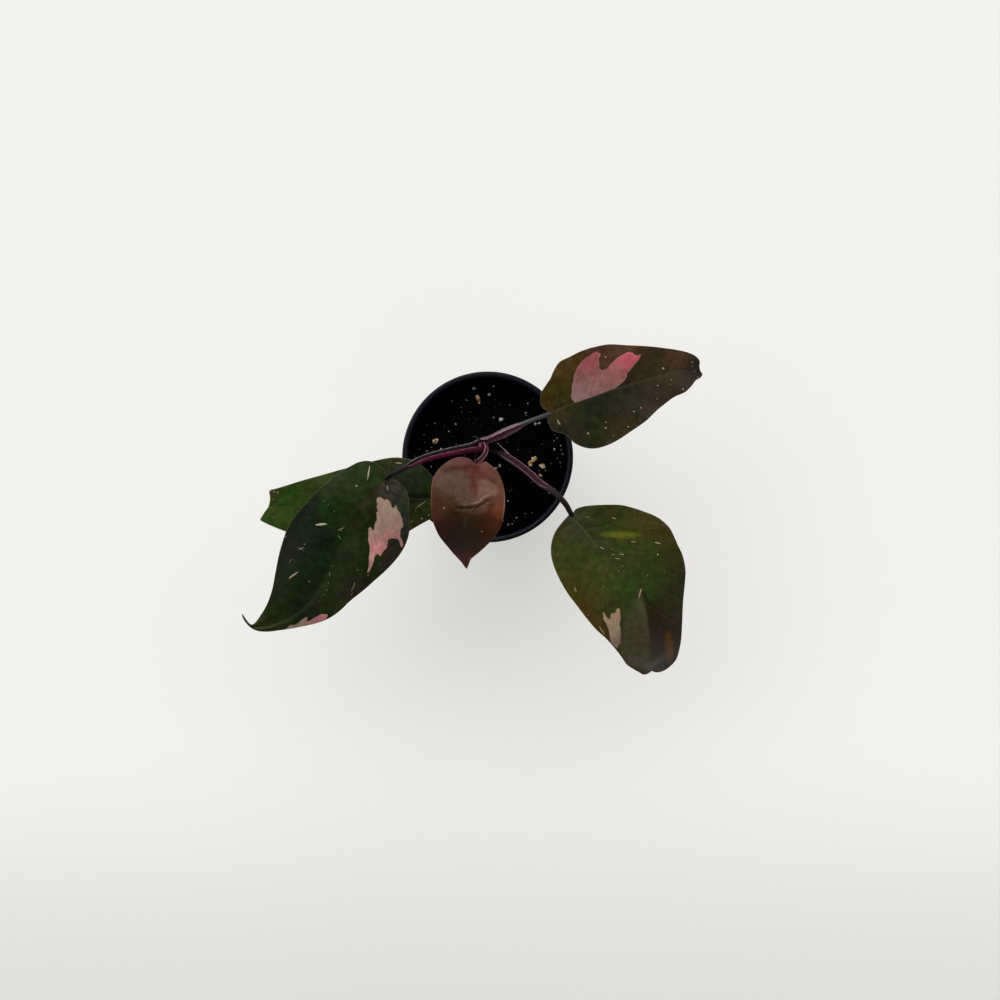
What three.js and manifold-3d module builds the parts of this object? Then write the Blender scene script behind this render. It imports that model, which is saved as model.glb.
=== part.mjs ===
// A young pink princess philodendron growing in a thin plastic nursery pot.
//
// Millimetres, +Z up. The origin is the centre of the pot's underside, so z = 0 is the floor.
// Five leaves stand around one short stem. Each leaf is a stalk (petiole) with an open channel
// along its top and a heart-based blade, and each blade is drawn flat and then bent and cupped.

import * as THREE from 'three';
import { mergeVertices } from 'three/addons/utils/BufferGeometryUtils.js';
import Module from 'manifold-3d';

const wasm = await Module();
wasm.setup();

// ---------- driving dimensions ----------

const POT_RIM_RADIUS = 54;       // outside of the rolled rim, a 4 inch pot
const POT_HEIGHT = 92;
const POT_FOOT_RADIUS = 38.5;
const POT_WALL = 1.2;
const RIM_WIDTH = 3.2;           // the rolled rim as seen from above
const STEP_HEIGHT = 76;          // where the wall steps outward under the rim
const STEP_RADIUS = 50;
const FLOOR_RECESS = 2;          // how far the drained floor stands above the foot
const DRAIN_RING_RADIUS = 22;
const DRAIN_RADIUS = 3.5;
const DRAIN_COUNT = 8;
const POT_SIDES = 36;

const SOIL_LEVEL = 80;
const SOIL_BOTTOM = 3.6;
const SOIL_ROUGHNESS = 1.1;

const STEM = { x: -3, y: 7.5, radius: 3.4, bottom: 62.3, top: 98 };
const GAP = 0.3;                 // between pieces that touch on the real plant

const BLADE_THICKNESS = 0.8;
const MIDRIB_DEPTH = 1.1;        // how far the midrib stands out under the blade
const BLADE_ROWS = 22;
const BLADE_STEPS = [0, 0.07, 0.35, 0.68, 1];   // from midrib to margin, as shares of the half width

// ---------- small helpers ----------

const radians = THREE.MathUtils.degToRad;
const vector = (x, y, z) => new THREE.Vector3(x, y, z);

// A repeatable stream of numbers from 0 to 1.
function seededNumbers(seed) {
  let state = seed;
  return () => {
    state = (state * 48271) % 2147483647;
    return state / 2147483647;
  };
}

// Straight-line reading of a list of [position, value] pairs.
function readAt(pairs, position) {
  if (position <= pairs[0][0]) return pairs[0][1];
  for (let i = 1; i < pairs.length; i += 1) {
    const [start, first] = pairs[i - 1];
    const [end, second] = pairs[i];
    if (position <= end) return first + (second - first) * (position - start) / (end - start);
  }
  return pairs[pairs.length - 1][1];
}

function geometryFrom(points, triangles) {
  const geometry = new THREE.BufferGeometry();
  const numbers = points.flatMap((p) => [p.x, p.y, p.z]);
  geometry.setAttribute('position', new THREE.Float32BufferAttribute(numbers, 3));
  geometry.setIndex(triangles.flat());
  return geometry;
}

function toSolid(geometry) {
  const bare = geometry.clone();
  bare.deleteAttribute('normal');
  bare.deleteAttribute('uv');
  const merged = mergeVertices(bare, 1e-4);
  const vertProperties = new Float32Array(merged.attributes.position.array);
  const triVerts = new Uint32Array(merged.index.array);
  return new wasm.Manifold(new wasm.Mesh({ numProp: 3, vertProperties, triVerts }));
}

function toGeometry(solid) {
  const mesh = solid.getMesh();
  const geometry = new THREE.BufferGeometry();
  geometry.setAttribute('position', new THREE.BufferAttribute(mesh.vertProperties, 3));
  geometry.setIndex(new THREE.BufferAttribute(mesh.triVerts, 1));
  return geometry;
}

function joined(solids) {
  return solids.reduce((whole, next) => whole.add(next));
}

// A closed solid through a row of rings, each with the same number of points in the same order.
function loft(rings) {
  const sides = rings[0].length;
  const points = rings.flat();
  const triangles = [];
  for (let k = 0; k + 1 < rings.length; k += 1) {
    for (let i = 0; i < sides; i += 1) {
      const here = k * sides + i;
      const beside = k * sides + (i + 1) % sides;
      triangles.push([here, beside, beside + sides], [here, beside + sides, here + sides]);
    }
  }
  const last = (rings.length - 1) * sides;
  const flat = flatRing(rings[0]);
  for (const [a, b, c] of THREE.ShapeUtils.triangulateShape(flat, [])) {
    triangles.push([a, c, b]);
    triangles.push([last + a, last + b, last + c]);
  }
  return geometryFrom(points, triangles);
}

// The ring's points laid in its own plane, counter-clockwise, so that its end can be filled.
function flatRing(ring) {
  const centre = ring.reduce((sum, p) => sum.add(p), vector(0, 0, 0)).divideScalar(ring.length);
  const normal = vector(0, 0, 0);
  ring.forEach((p, i) => {
    const next = ring[(i + 1) % ring.length];
    normal.add(p.clone().sub(centre).cross(next.clone().sub(centre)));
  });
  normal.normalize();
  const across = ring[0].clone().sub(centre).normalize();
  const along = normal.clone().cross(across);
  return ring.map((p) => {
    const arm = p.clone().sub(centre);
    return new THREE.Vector2(arm.dot(across), arm.dot(along));
  });
}

// Frames carried along a curve without twist, from its end back to its start.
function framesAlong(curve, steps, sideAtEnd) {
  const frames = [];
  let side = sideAtEnd.clone();
  for (let k = steps; k >= 0; k -= 1) {
    const tangent = curve.getTangentAt(k / steps);
    side.addScaledVector(tangent, -side.dot(tangent)).normalize();
    frames.unshift({ centre: curve.getPointAt(k / steps), tangent, side, up: side.clone().cross(tangent) });
    side = side.clone();
  }
  return frames;
}

function tube(curve, steps, sides, radiusAt) {
  const frames = framesAlong(curve, steps, vector(0.3, 0.2, 1));
  const rings = frames.map((frame, k) => {
    const ring = [];
    for (let i = 0; i < sides; i += 1) {
      const angle = 2 * Math.PI * i / sides;
      const radius = radiusAt(k / steps);
      ring.push(frame.centre.clone()
        .addScaledVector(frame.side, radius * Math.cos(angle))
        .addScaledVector(frame.up, -radius * Math.sin(angle)));
    }
    return ring;
  });
  return loft(rings);
}

const part = new THREE.Group();

function addPiece(name, geometry, look) {
  const mesh = new THREE.Mesh(geometry, new THREE.MeshStandardMaterial(look));
  mesh.name = name;
  part.add(mesh);
}

// ---------- pot ----------

// One moulded skin: a flush disc in the middle of the floor, a raised ring with the drain
// holes, the foot it stands on, the tapered wall, the step and the rolled rim.
function makePot() {
  const lipInside = POT_RIM_RADIUS - RIM_WIDTH;
  const outline = [
    [0, 0], [12, 0], [13.5, FLOOR_RECESS], [30, FLOOR_RECESS], [31.5, 0],
    [POT_FOOT_RADIUS - 1.2, 0], [POT_FOOT_RADIUS, 1.4],
    [STEP_RADIUS, STEP_HEIGHT], [STEP_RADIUS + 1.4, STEP_HEIGHT + 1.4],
    [STEP_RADIUS + 1.9, POT_HEIGHT - 4], [POT_RIM_RADIUS - 0.7, POT_HEIGHT - 3.4],
    [POT_RIM_RADIUS, POT_HEIGHT - 2.4], [POT_RIM_RADIUS, POT_HEIGHT - 0.9],
    [POT_RIM_RADIUS - 0.9, POT_HEIGHT], [lipInside + 0.8, POT_HEIGHT], [lipInside, POT_HEIGHT - 0.9],
    [STEP_RADIUS + 0.3, STEP_HEIGHT + 2.3], [STEP_RADIUS - POT_WALL, STEP_HEIGHT + 0.9],
    [POT_FOOT_RADIUS - POT_WALL, 2.2], [POT_FOOT_RADIUS - 2, 1.4],
    [32.5, 1.4], [30.5, FLOOR_RECESS + POT_WALL], [13, FLOOR_RECESS + POT_WALL],
    [11, POT_WALL], [0, POT_WALL],
  ];
  const skin = new THREE.LatheGeometry(outline.map(([r, z]) => new THREE.Vector2(r, z)), POT_SIDES);
  skin.rotateX(Math.PI / 2);
  let solid = toSolid(skin);
  for (let i = 0; i < DRAIN_COUNT; i += 1) {
    const angle = 2 * Math.PI * i / DRAIN_COUNT;
    const drill = new THREE.CylinderGeometry(DRAIN_RADIUS, DRAIN_RADIUS, 8, 12);
    drill.rotateX(Math.PI / 2);
    drill.translate(DRAIN_RING_RADIUS * Math.cos(angle), DRAIN_RING_RADIUS * Math.sin(angle), FLOOR_RECESS);
    solid = solid.subtract(toSolid(drill));
  }
  return toGeometry(solid);
}

// ---------- roots and stem ----------

const ROOT_COUNT = 8;
const ROOT_RADIUS = 1.1;
const CROWN = { radius: 3, bottom: 50, top: STEM.bottom - GAP };

function rootCurve(index) {
  const angle = 2 * Math.PI * (index + 0.3 * Math.sin(5 * index)) / ROOT_COUNT;
  const reach = 22 + 6 * Math.cos(3 * index);
  const depth = 14 + 9 * (index % 3);
  const arm = (distance, z, turn) => vector(
    STEM.x + distance * Math.cos(angle + turn),
    STEM.y * (1 - distance / 40) + distance * Math.sin(angle + turn),
    z,
  );
  return new THREE.CatmullRomCurve3([
    vector(STEM.x, STEM.y, CROWN.bottom + 5),
    arm(reach * 0.4, CROWN.bottom - 3, 0),
    arm(reach * 0.85, (CROWN.bottom + depth) / 2, 0.25),
    arm(reach, depth, 0.1),
  ]);
}

// The crown and its thick roots. With extra > 0 it is the hollow that they need in the soil.
function rootSolid(extra) {
  const crownHeight = CROWN.top - CROWN.bottom + 2 * extra;
  const crown = new THREE.CylinderGeometry(CROWN.radius + extra, CROWN.radius + extra, crownHeight, 12);
  crown.rotateX(Math.PI / 2);
  crown.translate(STEM.x, STEM.y, (CROWN.top + CROWN.bottom) / 2);
  const pieces = [toSolid(crown)];
  for (let i = 0; i < ROOT_COUNT; i += 1) {
    const curve = rootCurve(i);
    pieces.push(toSolid(tube(curve, 7, 6, (share) => ROOT_RADIUS * (1 - 0.35 * share) + extra)));
    const roundEnd = new THREE.IcosahedronGeometry(ROOT_RADIUS * 0.65 + 1.6 * extra, 0);
    roundEnd.translate(...curve.getPointAt(1));
    pieces.push(toSolid(roundEnd));
  }
  return joined(pieces);
}

// A short upright stem with a swelling where each leaf leaves it.
function makeStem() {
  const { radius, bottom, top } = STEM;
  const profile = [
    [0, bottom], [radius - 0.6, bottom], [radius, bottom + 1.5], [radius, 82],
    [radius - 0.4, 84], [radius, 87], [radius - 0.4, 89.5], [radius - 0.1, 92], [radius - 0.6, top - 3],
    [radius - 0.7, top - 0.5], [radius - 1.1, top], [0, top],
  ];
  const stem = new THREE.LatheGeometry(profile.map(([r, z]) => new THREE.Vector2(r, z)), 16);
  stem.rotateX(Math.PI / 2);
  stem.translate(STEM.x, STEM.y, 0);
  return stem;
}

// The room that the stem takes, with the usual gap all round.
function stemRoom() {
  const height = STEM.top - STEM.bottom + 2 * GAP;
  const room = new THREE.CylinderGeometry(STEM.radius + GAP, STEM.radius + GAP, height, 24);
  room.rotateX(Math.PI / 2);
  room.translate(STEM.x, STEM.y, STEM.top + GAP - height / 2);
  return toSolid(room);
}

// ---------- soil ----------

const SOIL_GRAINS = 46;
const GOLDEN_ANGLE = 2.39996;    // spreads the grains without rows

// Low swells and hollows in the soil's surface, as a smooth formula of place.
function soilHeight(x, y) {
  const swell = Math.sin(0.13 * x + 1.1) * Math.cos(0.11 * y - 0.4) + 0.4 * Math.sin(0.21 * y + 0.17 * x);
  return SOIL_LEVEL + SOIL_ROUGHNESS * swell;
}

function makeSoil() {
  const margin = 1.5 * GAP;
  const topRadii = [STEP_RADIUS + 0.3 - margin, 42, 34, 26, 18, 10];
  const ring = (radius, heightAt) => {
    const points = [];
    for (let i = 0; i < POT_SIDES; i += 1) {
      const angle = 2 * Math.PI * i / POT_SIDES;
      const x = radius * Math.cos(angle);
      const y = radius * Math.sin(angle);
      points.push(vector(x, y, heightAt(x, y)));
    }
    return points;
  };
  const rings = [
    ring(POT_FOOT_RADIUS - POT_WALL - margin, () => SOIL_BOTTOM),
    ring(STEP_RADIUS - POT_WALL - margin, () => STEP_HEIGHT + 0.9),
    ring(STEP_RADIUS + 0.3 - margin, () => STEP_HEIGHT + 2.3),
    ...topRadii.map((radius) => ring(radius, soilHeight)),
  ];
  const filling = toSolid(loft(rings));
  const grains = joined(soilGrains());
  return toGeometry(filling.add(grains).subtract(stemRoom()).subtract(rootSolid(GAP)));
}

// Perlite grains and bark crumbs, each sunk by more than half into the surface.
function soilGrains() {
  const random = seededNumbers(4711);
  const grains = [];
  for (let i = 0; i < SOIL_GRAINS; i += 1) {
    const angle = i * GOLDEN_ANGLE;
    const distance = 9 + 37 * Math.sqrt((i + random()) / SOIL_GRAINS);
    const x = distance * Math.cos(angle);
    const y = distance * Math.sin(angle);
    const size = 1.1 + 1.3 * random();
    const fromStem = Math.hypot(x - STEM.x, y - STEM.y);
    if (distance < 46 && fromStem > 9) {
      const grain = new THREE.IcosahedronGeometry(size, 0);
      grain.scale(1, 0.75 + 0.25 * random(), 0.8);
      grain.rotateZ(6 * random());
      grain.translate(x, y, soilHeight(x, y) - 0.2 * size);
      grains.push(toSolid(grain));
    }
  }
  return grains;
}

// ---------- leaf blades ----------

// Each blade is drawn flat: y runs from the leaf stalk to the tip, x across, with the upper face
// up. base is the place of the stalk's end, heading the way the blade points as seen from above,
// bend the slope in degrees at each distance from the base, cup how many degrees the two
// halves rise from the midrib, and droop how far they fall again at 40 mm from it. lean lowers
// the right half, from base to tip. wave is the height of the ripple along the margin.
// The midrib starts a little way in, and the base between the notch and there is its own patch.
const NOTCH = 1.9;   // half the width of the notch that takes the stalk

const BLADES = {
  blade_right: {
    base: [35.6, 24.2, 134],
    heading: 14.5,
    bend: [[0, 10], [20, 5], [41, -4], [61, -14], [82, -22], [102, -26]],
    cup: 10,
    droop: 5,
    lean: [0, 0],
    wave: [1.2, 3.2],
    midrib: [[0, 4], [-0.5, 17], [-1.6, 32.5], [-3.5, 51], [-4, 71], [-4.2, 88], [-0.2, 101]],
    left: [
      [-NOTCH, 0], [-3, -1.6], [-6, -2.3], [-9.5, -1.6], [-12.6, 0], [-16.3, 4], [-19.1, 7.1],
      [-23.5, 10.6], [-27, 15], [-28, 21], [-29.4, 28], [-29.6, 37], [-28.8, 46], [-25.5, 57],
      [-20.5, 74], [-16.1, 88], [-12, 96.5], [-8.1, 99.8], [-5.2, 99.4], [-2.6, 99.8], [-0.2, 101],
    ],
    right: [
      [NOTCH, 0], [3.6, -0.6], [7.3, -0.4], [10.5, 0.4], [12.7, 2.9], [14, 5.6], [15.5, 7.6], [19.1, 9.7],
      [22, 12], [25, 16], [26.8, 21], [27, 27], [26, 35], [22.4, 45.7], [19.2, 54.6], [14.9, 62.2],
      [11.7, 69.7], [9, 77], [7.9, 84], [5.4, 89.5], [2.2, 94.5], [1.3, 98.6], [-0.2, 101],
    ],
  },
  blade_front_right: {
    base: [50.4, -35.3, 124],
    heading: -60.5,
    bend: [[0, 6], [28, 0], [56, -10], [84, -30], [112, -45], [140, -50]],
    cup: 8,
    droop: 5,
    lean: [0, 0],
    wave: [1.4, 2.7],
    midrib: [
      [-0.3, 4], [-2, 13], [-4.5, 27], [-9.2, 45.5], [-13.2, 61.5], [-8.7, 80.5], [-3.5, 100], [2.4, 125.4],
    ],
    left: [
      [-NOTCH, 0], [-3.4, -1.3], [-6.6, -0.8], [-12.2, 1.5], [-22.8, 6.9], [-29, 10.6], [-34.3, 15.7],
      [-39, 21], [-43, 26], [-45.7, 31], [-47.3, 37], [-47.2, 43], [-46.6, 49], [-46, 55], [-43.1, 64],
      [-38.4, 72], [-32, 83.6], [-24.7, 101], [-19, 116], [-13.6, 126.4], [-8.3, 131], [-4, 131.8],
      [-0.2, 130], [2.4, 125.4],
    ],
    right: [
      [NOTCH, 0], [4.4, 0.6], [8.9, 2.3], [14, 5], [18, 8.8], [21, 13.3], [23, 18.3], [24, 25], [24.4, 33],
      [24.2, 41], [23, 49], [21.7, 59], [20, 69], [17.3, 77.6], [15.7, 88], [15, 97], [14.2, 105.5],
      [11.6, 113], [9, 119.5], [7.2, 123.8], [4.8, 125.2], [2.4, 125.4],
    ],
  },
  blade_new: {
    base: [-5.7, -6.3, 152],
    heading: -95.5,
    bend: [[0, 8], [16, 9], [25, 2], [31, -18], [46, -40], [78, -46]],
    cup: 8,
    droop: 5,
    lean: [0, 0],
    wave: [0.5, 2.4],
    midrib: [[0.2, 4], [0.6, 9], [1, 16.5], [1.4, 25], [1.6, 36], [0.9, 50], [0.2, 71]],
    left: [
      [-NOTCH, 0], [-3.4, -0.9], [-5.4, -1.6], [-8, 0], [-11.5, 2.7], [-14.1, 6], [-16.4, 11],
      [-18.1, 17.4], [-18.6, 23.6], [-18.2, 29.4], [-16.9, 35], [-14.5, 40], [-10.9, 46.5],
      [-6.6, 53.6], [-3.3, 58.6], [-1.6, 62], [-0.8, 66.3], [0.2, 71],
    ],
    right: [
      [NOTCH, 0], [3, -1.6], [5, -2.5], [8.6, -2.9], [12.5, -1.9], [16.3, 0.5], [19.5, 3.5], [22.5, 7.8],
      [24, 12.4], [24.1, 18], [23.3, 26], [22.4, 32], [20.8, 37], [17.2, 44.5], [12.8, 51.3], [8, 58.8],
      [3.6, 65.6], [1.4, 69.6], [0.2, 71],
    ],
  },
  blade_front_left: {
    base: [-58.7, -13.8, 131],
    heading: -134,
    bend: [[0, 8], [25, 2], [51, -8], [76, -16], [102, -16], [127, -10]],
    cup: 8,
    droop: 8,
    lean: [0, 0],
    wave: [1.2, 2.3],
    midrib: [
      [0, 4], [-0.6, 13], [-2.1, 28], [-6, 44], [-11, 60], [-15.6, 77.5], [-16.5, 97], [-10.3, 116],
      [-3.6, 125], [2.6, 126.8], [7.6, 124.9],
    ],
    left: [
      [-NOTCH, 0], [-3.9, -1.8], [-8, -2.4], [-13, -2], [-18.2, 1.2], [-24.6, 7.4], [-30.5, 13.9],
      [-33.8, 19], [-36, 25.5], [-37.1, 33], [-36.9, 41], [-35.9, 49], [-35.2, 59], [-34, 69], [-33.5, 78],
      [-32, 86], [-29, 93.4], [-24.9, 101], [-19.5, 109.2], [-15.7, 114.5], [-11.9, 119.8], [-7.8, 124.6],
      [-4.3, 126.7], [-0.8, 127.6], [2.6, 127.5], [5.6, 126.6], [7.6, 124.9],
    ],
    right: [
      [NOTCH, 0], [4.2, -1.5], [8.2, -1.8], [12.2, -0.8], [16.2, 1.9], [18.9, 5.8], [20.6, 10.5],
      [22.4, 17.4], [23.4, 25], [23.9, 33], [24, 42], [23.7, 50], [22.9, 57.4], [21, 65], [18, 72],
      [14.2, 79.5], [9.1, 88.4], [4, 97.6], [1.4, 106], [-0.3, 113], [-0.9, 119], [-0.2, 124.2],
      [2.4, 126], [5.4, 125.7], [7.6, 124.9],
    ],
  },
  blade_left: {
    base: [-26.2, -26.6, 104],
    heading: 182.6,
    bend: [[0, 6], [23, 2], [46, -4], [69, -8], [92, -10], [115, -12]],
    cup: 8,
    droop: 5,
    lean: [0, 0],
    wave: [1, 2.2],
    midrib: [[0, 4], [1.3, 28], [0.8, 59], [0.4, 91], [0.1, 112.5]],
    left: [
      [-NOTCH, 0], [-3.4, -2.3], [-5.8, -1.8], [-8, 1], [-10, 5], [-12, 9.5], [-14.2, 14.3], [-16.4, 19.3],
      [-18.6, 24], [-22.2, 35], [-24, 45], [-24.7, 54], [-24.3, 64], [-22.7, 73], [-18.2, 91.5],
      [-15.7, 100], [-13.7, 105], [-11.6, 110], [-9.4, 114.6], [-7.4, 117], [-4.6, 116], [-2.3, 114.3],
      [0.1, 112.5],
    ],
    right: [
      [NOTCH, 0], [3.6, -2.5], [6.1, -1.9], [9, 0.9], [13.3, 6.3], [17.7, 9.8], [21.6, 13.9], [24.4, 18],
      [26.1, 23], [26.9, 28], [26.9, 33], [26.1, 39], [24.4, 48], [22.4, 57.5], [20.6, 65], [17.8, 77],
      [15, 90], [12.7, 100], [11, 107.4], [9.4, 110.2], [7, 110.8], [4.4, 110.7], [0.1, 112.5],
    ],
  },
};

// Where a flat place (x, y) of the blade lies once it is bent: a point, the way along the
// blade and the blade's upward normal, before cupping.
function bentFrame(blade, y) {
  const heading = radians(blade.heading);
  const direction = Math.sign(y) || 1;
  const length = Math.abs(y);
  const pieces = Math.max(1, Math.ceil(length));
  let along = 0;
  let height = 0;
  for (let i = 0; i < pieces; i += 1) {
    const slope = radians(readAt(blade.bend, direction * (i + 0.5) * length / pieces));
    along += direction * Math.cos(slope) * length / pieces;
    height += direction * Math.sin(slope) * length / pieces;
  }
  const forward = vector(Math.cos(heading), Math.sin(heading), 0);
  const slope = radians(readAt(blade.bend, y));
  const tangent = forward.clone().multiplyScalar(Math.cos(slope)).setZ(Math.sin(slope));
  const right = vector(Math.sin(heading), -Math.cos(heading), 0);
  const normal = right.clone().cross(tangent);
  const lean = radians(THREE.MathUtils.lerp(blade.lean[0], blade.lean[1], y / 100));
  right.applyAxisAngle(tangent, lean);
  normal.applyAxisAngle(tangent, lean);
  const centre = vector(...blade.base).addScaledVector(forward, along).add(vector(0, 0, height));
  return { centre, tangent, right, normal };
}

// A rib of the blade leaves the midrib at one place and meets the margin further on.
// The ribs fan out at the base and close up at the tip.
function ribAt(blade, side, share) {
  const root = blade.curves.midrib.getPointAt(share * (1 - 0.9 * (1 - share) ** 1.5));
  const end = blade.curves[side].getPointAt(share);
  return { root, end };
}

function bladePoint(blade, side, share, step, drop) {
  const { root, end } = ribAt(blade, side, share);
  const flat = root.clone().lerp(end, step);
  const across = Math.abs(flat.x - root.x);
  const { centre, right, normal } = bentFrame(blade, flat.y);
  const [waveHeight, waveCount] = blade.wave;
  const turn = 2 * Math.PI * waveCount * share + (side === 'left' ? 0.6 : 2.4);
  const ripple = waveHeight * step ** 2 * Math.sin(Math.PI * share) * Math.sin(turn);
  const lift = across * Math.tan(radians(blade.cup)) - blade.droop * (across / 40) ** 2 + ripple;
  return centre.addScaledVector(right, flat.x).addScaledVector(normal, lift - drop);
}

// The midrib stands out under the blade, most near the stalk.
function depthAt(step, share) {
  const ridge = step === 0 ? MIDRIB_DEPTH * (1 - 0.8 * share) * Math.min(1, share * 8) : 0;
  return BLADE_THICKNESS + ridge;
}

// The rows lie closer together at the base and the tip, where the outline turns most.
function rowShare(row) {
  const even = row / BLADE_ROWS;
  return even - 0.65 * Math.sin(2 * Math.PI * even) / (2 * Math.PI);
}

// Both faces are split into the same triangles, so they can't cross where the blade waves.
function makeBlade(name) {
  const blade = BLADES[name];
  const smooth = (points) => new THREE.SplineCurve(points.map(([x, y]) => new THREE.Vector2(x, y)));
  blade.curves = { midrib: smooth(blade.midrib), left: smooth(blade.left), right: smooth(blade.right) };
  const reach = BLADE_STEPS.length - 1;
  const columns = 2 * reach + 1;
  const faces = [0, 1].map((face) => {
    const points = [];
    for (let row = 0; row < BLADE_ROWS; row += 1) {
      const share = rowShare(row);
      for (let column = -reach; column <= reach; column += 1) {
        const side = column < 0 ? 'left' : 'right';
        const step = BLADE_STEPS[Math.abs(column)];
        points.push(bladePoint(blade, side, share, step, face * depthAt(step, share)));
      }
    }
    points.push(bladePoint(blade, 'left', 1, 0, face * BLADE_THICKNESS));
    return points;
  });
  const count = faces[0].length;
  const tip = count - 1;
  const top = [];
  for (let row = 0; row + 1 < BLADE_ROWS; row += 1) {
    for (let column = 0; column < columns - 1; column += 1) {
      const near = row * columns + column;
      const far = near + columns;
      if (column < reach) top.push([near, near + 1, far + 1], [near, far + 1, far]);
      else top.push([near, near + 1, far], [near + 1, far + 1, far]);
    }
  }
  for (let step = 1; step <= reach; step += 1) {
    const left = reach - step;
    const right = reach + step;
    if (step > 1) top.push([left, right, right - 1], [left, right - 1, left + 1]);
    else top.push([left, right, reach]);
  }
  const lastRow = (BLADE_ROWS - 1) * columns;
  for (let column = 0; column < columns - 1; column += 1) {
    top.push([lastRow + column, lastRow + column + 1, tip]);
  }
  const edge = [0, columns - 1];
  for (let row = 1; row < BLADE_ROWS; row += 1) edge.push(row * columns + columns - 1);
  edge.push(tip);
  for (let row = BLADE_ROWS - 1; row > 0; row -= 1) edge.push(row * columns);
  const triangles = [...top];
  for (const [a, b, c] of top) triangles.push([count + a, count + c, count + b]);
  edge.forEach((here, i) => {
    const next = edge[(i + 1) % edge.length];
    triangles.push([here, count + here, count + next], [here, count + next, next]);
  });
  return geometryFrom(faces.flat(), triangles);
}

// ---------- leaf stalks ----------

// Cross-sections as shares of the half width: an open channel low down, a round stalk higher up.
const CHANNEL = [
  [1, 0.5], [0.72, 0.6], [0.4, -0.05], [0, -0.22], [-0.4, -0.05], [-0.72, 0.6], [-1, 0.5],
  [-0.95, -0.15], [-0.58, -0.75], [0, -0.95], [0.58, -0.75], [0.95, -0.15],
];
const ROUND = [
  [0.87, 0.5], [0.62, 0.74], [0.33, 0.84], [0, 0.82], [-0.33, 0.84], [-0.62, 0.74], [-0.87, 0.5],
  [-1, -0.05], [-0.72, -0.7], [0, -1], [0.72, -0.7], [1, -0.05],
];

// from is the height at which the stalk leaves the stem, via the places that it passes, sheath
// the share of its length that is channelled, and width its half width at each share.
const PETIOLES = {
  petiole_right: {
    blade: 'blade_right',
    from: 92.8,
    via: [[1.5, 10, 98.6], [8.1, 12.8, 105.5], [18.7, 16.6, 118], [25.8, 19.9, 124.5], [31.2, 22.8, 131]],
    sheath: 0.6,
    width: [[0, 2.4], [0.2, 2.7], [0.45, 2], [0.62, 1.6], [1, 1.4]],
  },
  petiole_front_right: {
    blade: 'blade_front_right',
    from: 87.5,
    via: [
      [2, 4.5, 91], [8, 1.3, 96], [15.4, -2.6, 101], [21.5, -7.3, 106], [27.8, -12.9, 111],
      [32.8, -17.5, 115], [39.2, -21.5, 119], [43.8, -25.8, 121.5], [47.4, -29.9, 122.8],
    ],
    sheath: 0.68,
    width: [[0, 2.5], [0.15, 3.2], [0.45, 3.2], [0.65, 2.6], [0.78, 2], [1, 1.5]],
  },
  petiole_new: {
    blade: 'blade_new',
    from: STEM.top + GAP,
    via: [[-1.8, 6.2, 120], [0, 2.4, 142], [-1.2, -0.8, 154.6], [-4.4, -3.5, 154.4]],
    sheath: 0.9,
    width: [[0, 2], [0.1, 2.1], [0.3, 1.8], [0.9, 1.7], [1, 1.4]],
  },
  petiole_front_left: {
    blade: 'blade_front_left',
    from: 90.5,
    via: [
      [-8.5, 5.6, 95], [-16, 4.3, 99], [-29.2, 1.6, 107], [-40.9, -3.3, 115], [-52.1, -9.6, 125.5],
      [-55.9, -11.6, 129],
    ],
    sheath: 0.62,
    width: [[0, 2.3], [0.2, 2], [0.6, 1.9], [0.72, 1.5], [1, 1.5]],
  },
  petiole_left: {
    blade: 'blade_left',
    from: 84.5,
    via: [[-10, -8, 92], [-16, -20, 98.5], [-21.4, -26.2, 102.8]],
    sheath: 0.6,
    width: [[0, 2.3], [0.6, 1.8], [0.74, 1.4], [1, 1.4]],
  },
};

const CHANNEL_FADE = 0.12;   // the share of the length over which the channel closes
const PETIOLE_STEPS = 16;
const STALK_LEAD = 1.6;      // the last stretch, which runs in line with the blade

function makePetiole(name) {
  const { blade: bladeName, from, via, sheath, width } = PETIOLES[name];
  const blade = BLADES[bladeName];
  const { right } = bentFrame(blade, 0);
  const end = bentFrame(blade, -1.5 * GAP);
  end.centre.addScaledVector(end.normal, -BLADE_THICKNESS / 2);
  const lead = end.centre.clone().addScaledVector(end.tangent, -STALK_LEAD);
  const curve = new THREE.CatmullRomCurve3(
    [vector(STEM.x, STEM.y, from), ...via.map((place) => vector(...place)), lead, end.centre],
    false,
    'centripetal',
  );
  const rings = framesAlong(curve, PETIOLE_STEPS, right.clone().negate()).map((frame, k) => {
    const share = k / PETIOLE_STEPS;
    const halfWidth = readAt(width, share);
    const roundness = readAt([[sheath - CHANNEL_FADE / 2, 0], [sheath + CHANNEL_FADE, 1]], share);
    return CHANNEL.map(([side, up], i) => {
      const across = THREE.MathUtils.lerp(side, ROUND[i][0], roundness) * halfWidth;
      const rise = THREE.MathUtils.lerp(up, ROUND[i][1], roundness) * halfWidth;
      return frame.centre.clone().addScaledVector(frame.side, across).addScaledVector(frame.up, -rise);
    });
  });
  const solid = toSolid(loft(rings));
  return toGeometry(solid.subtract(stemRoom()));
}

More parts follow.
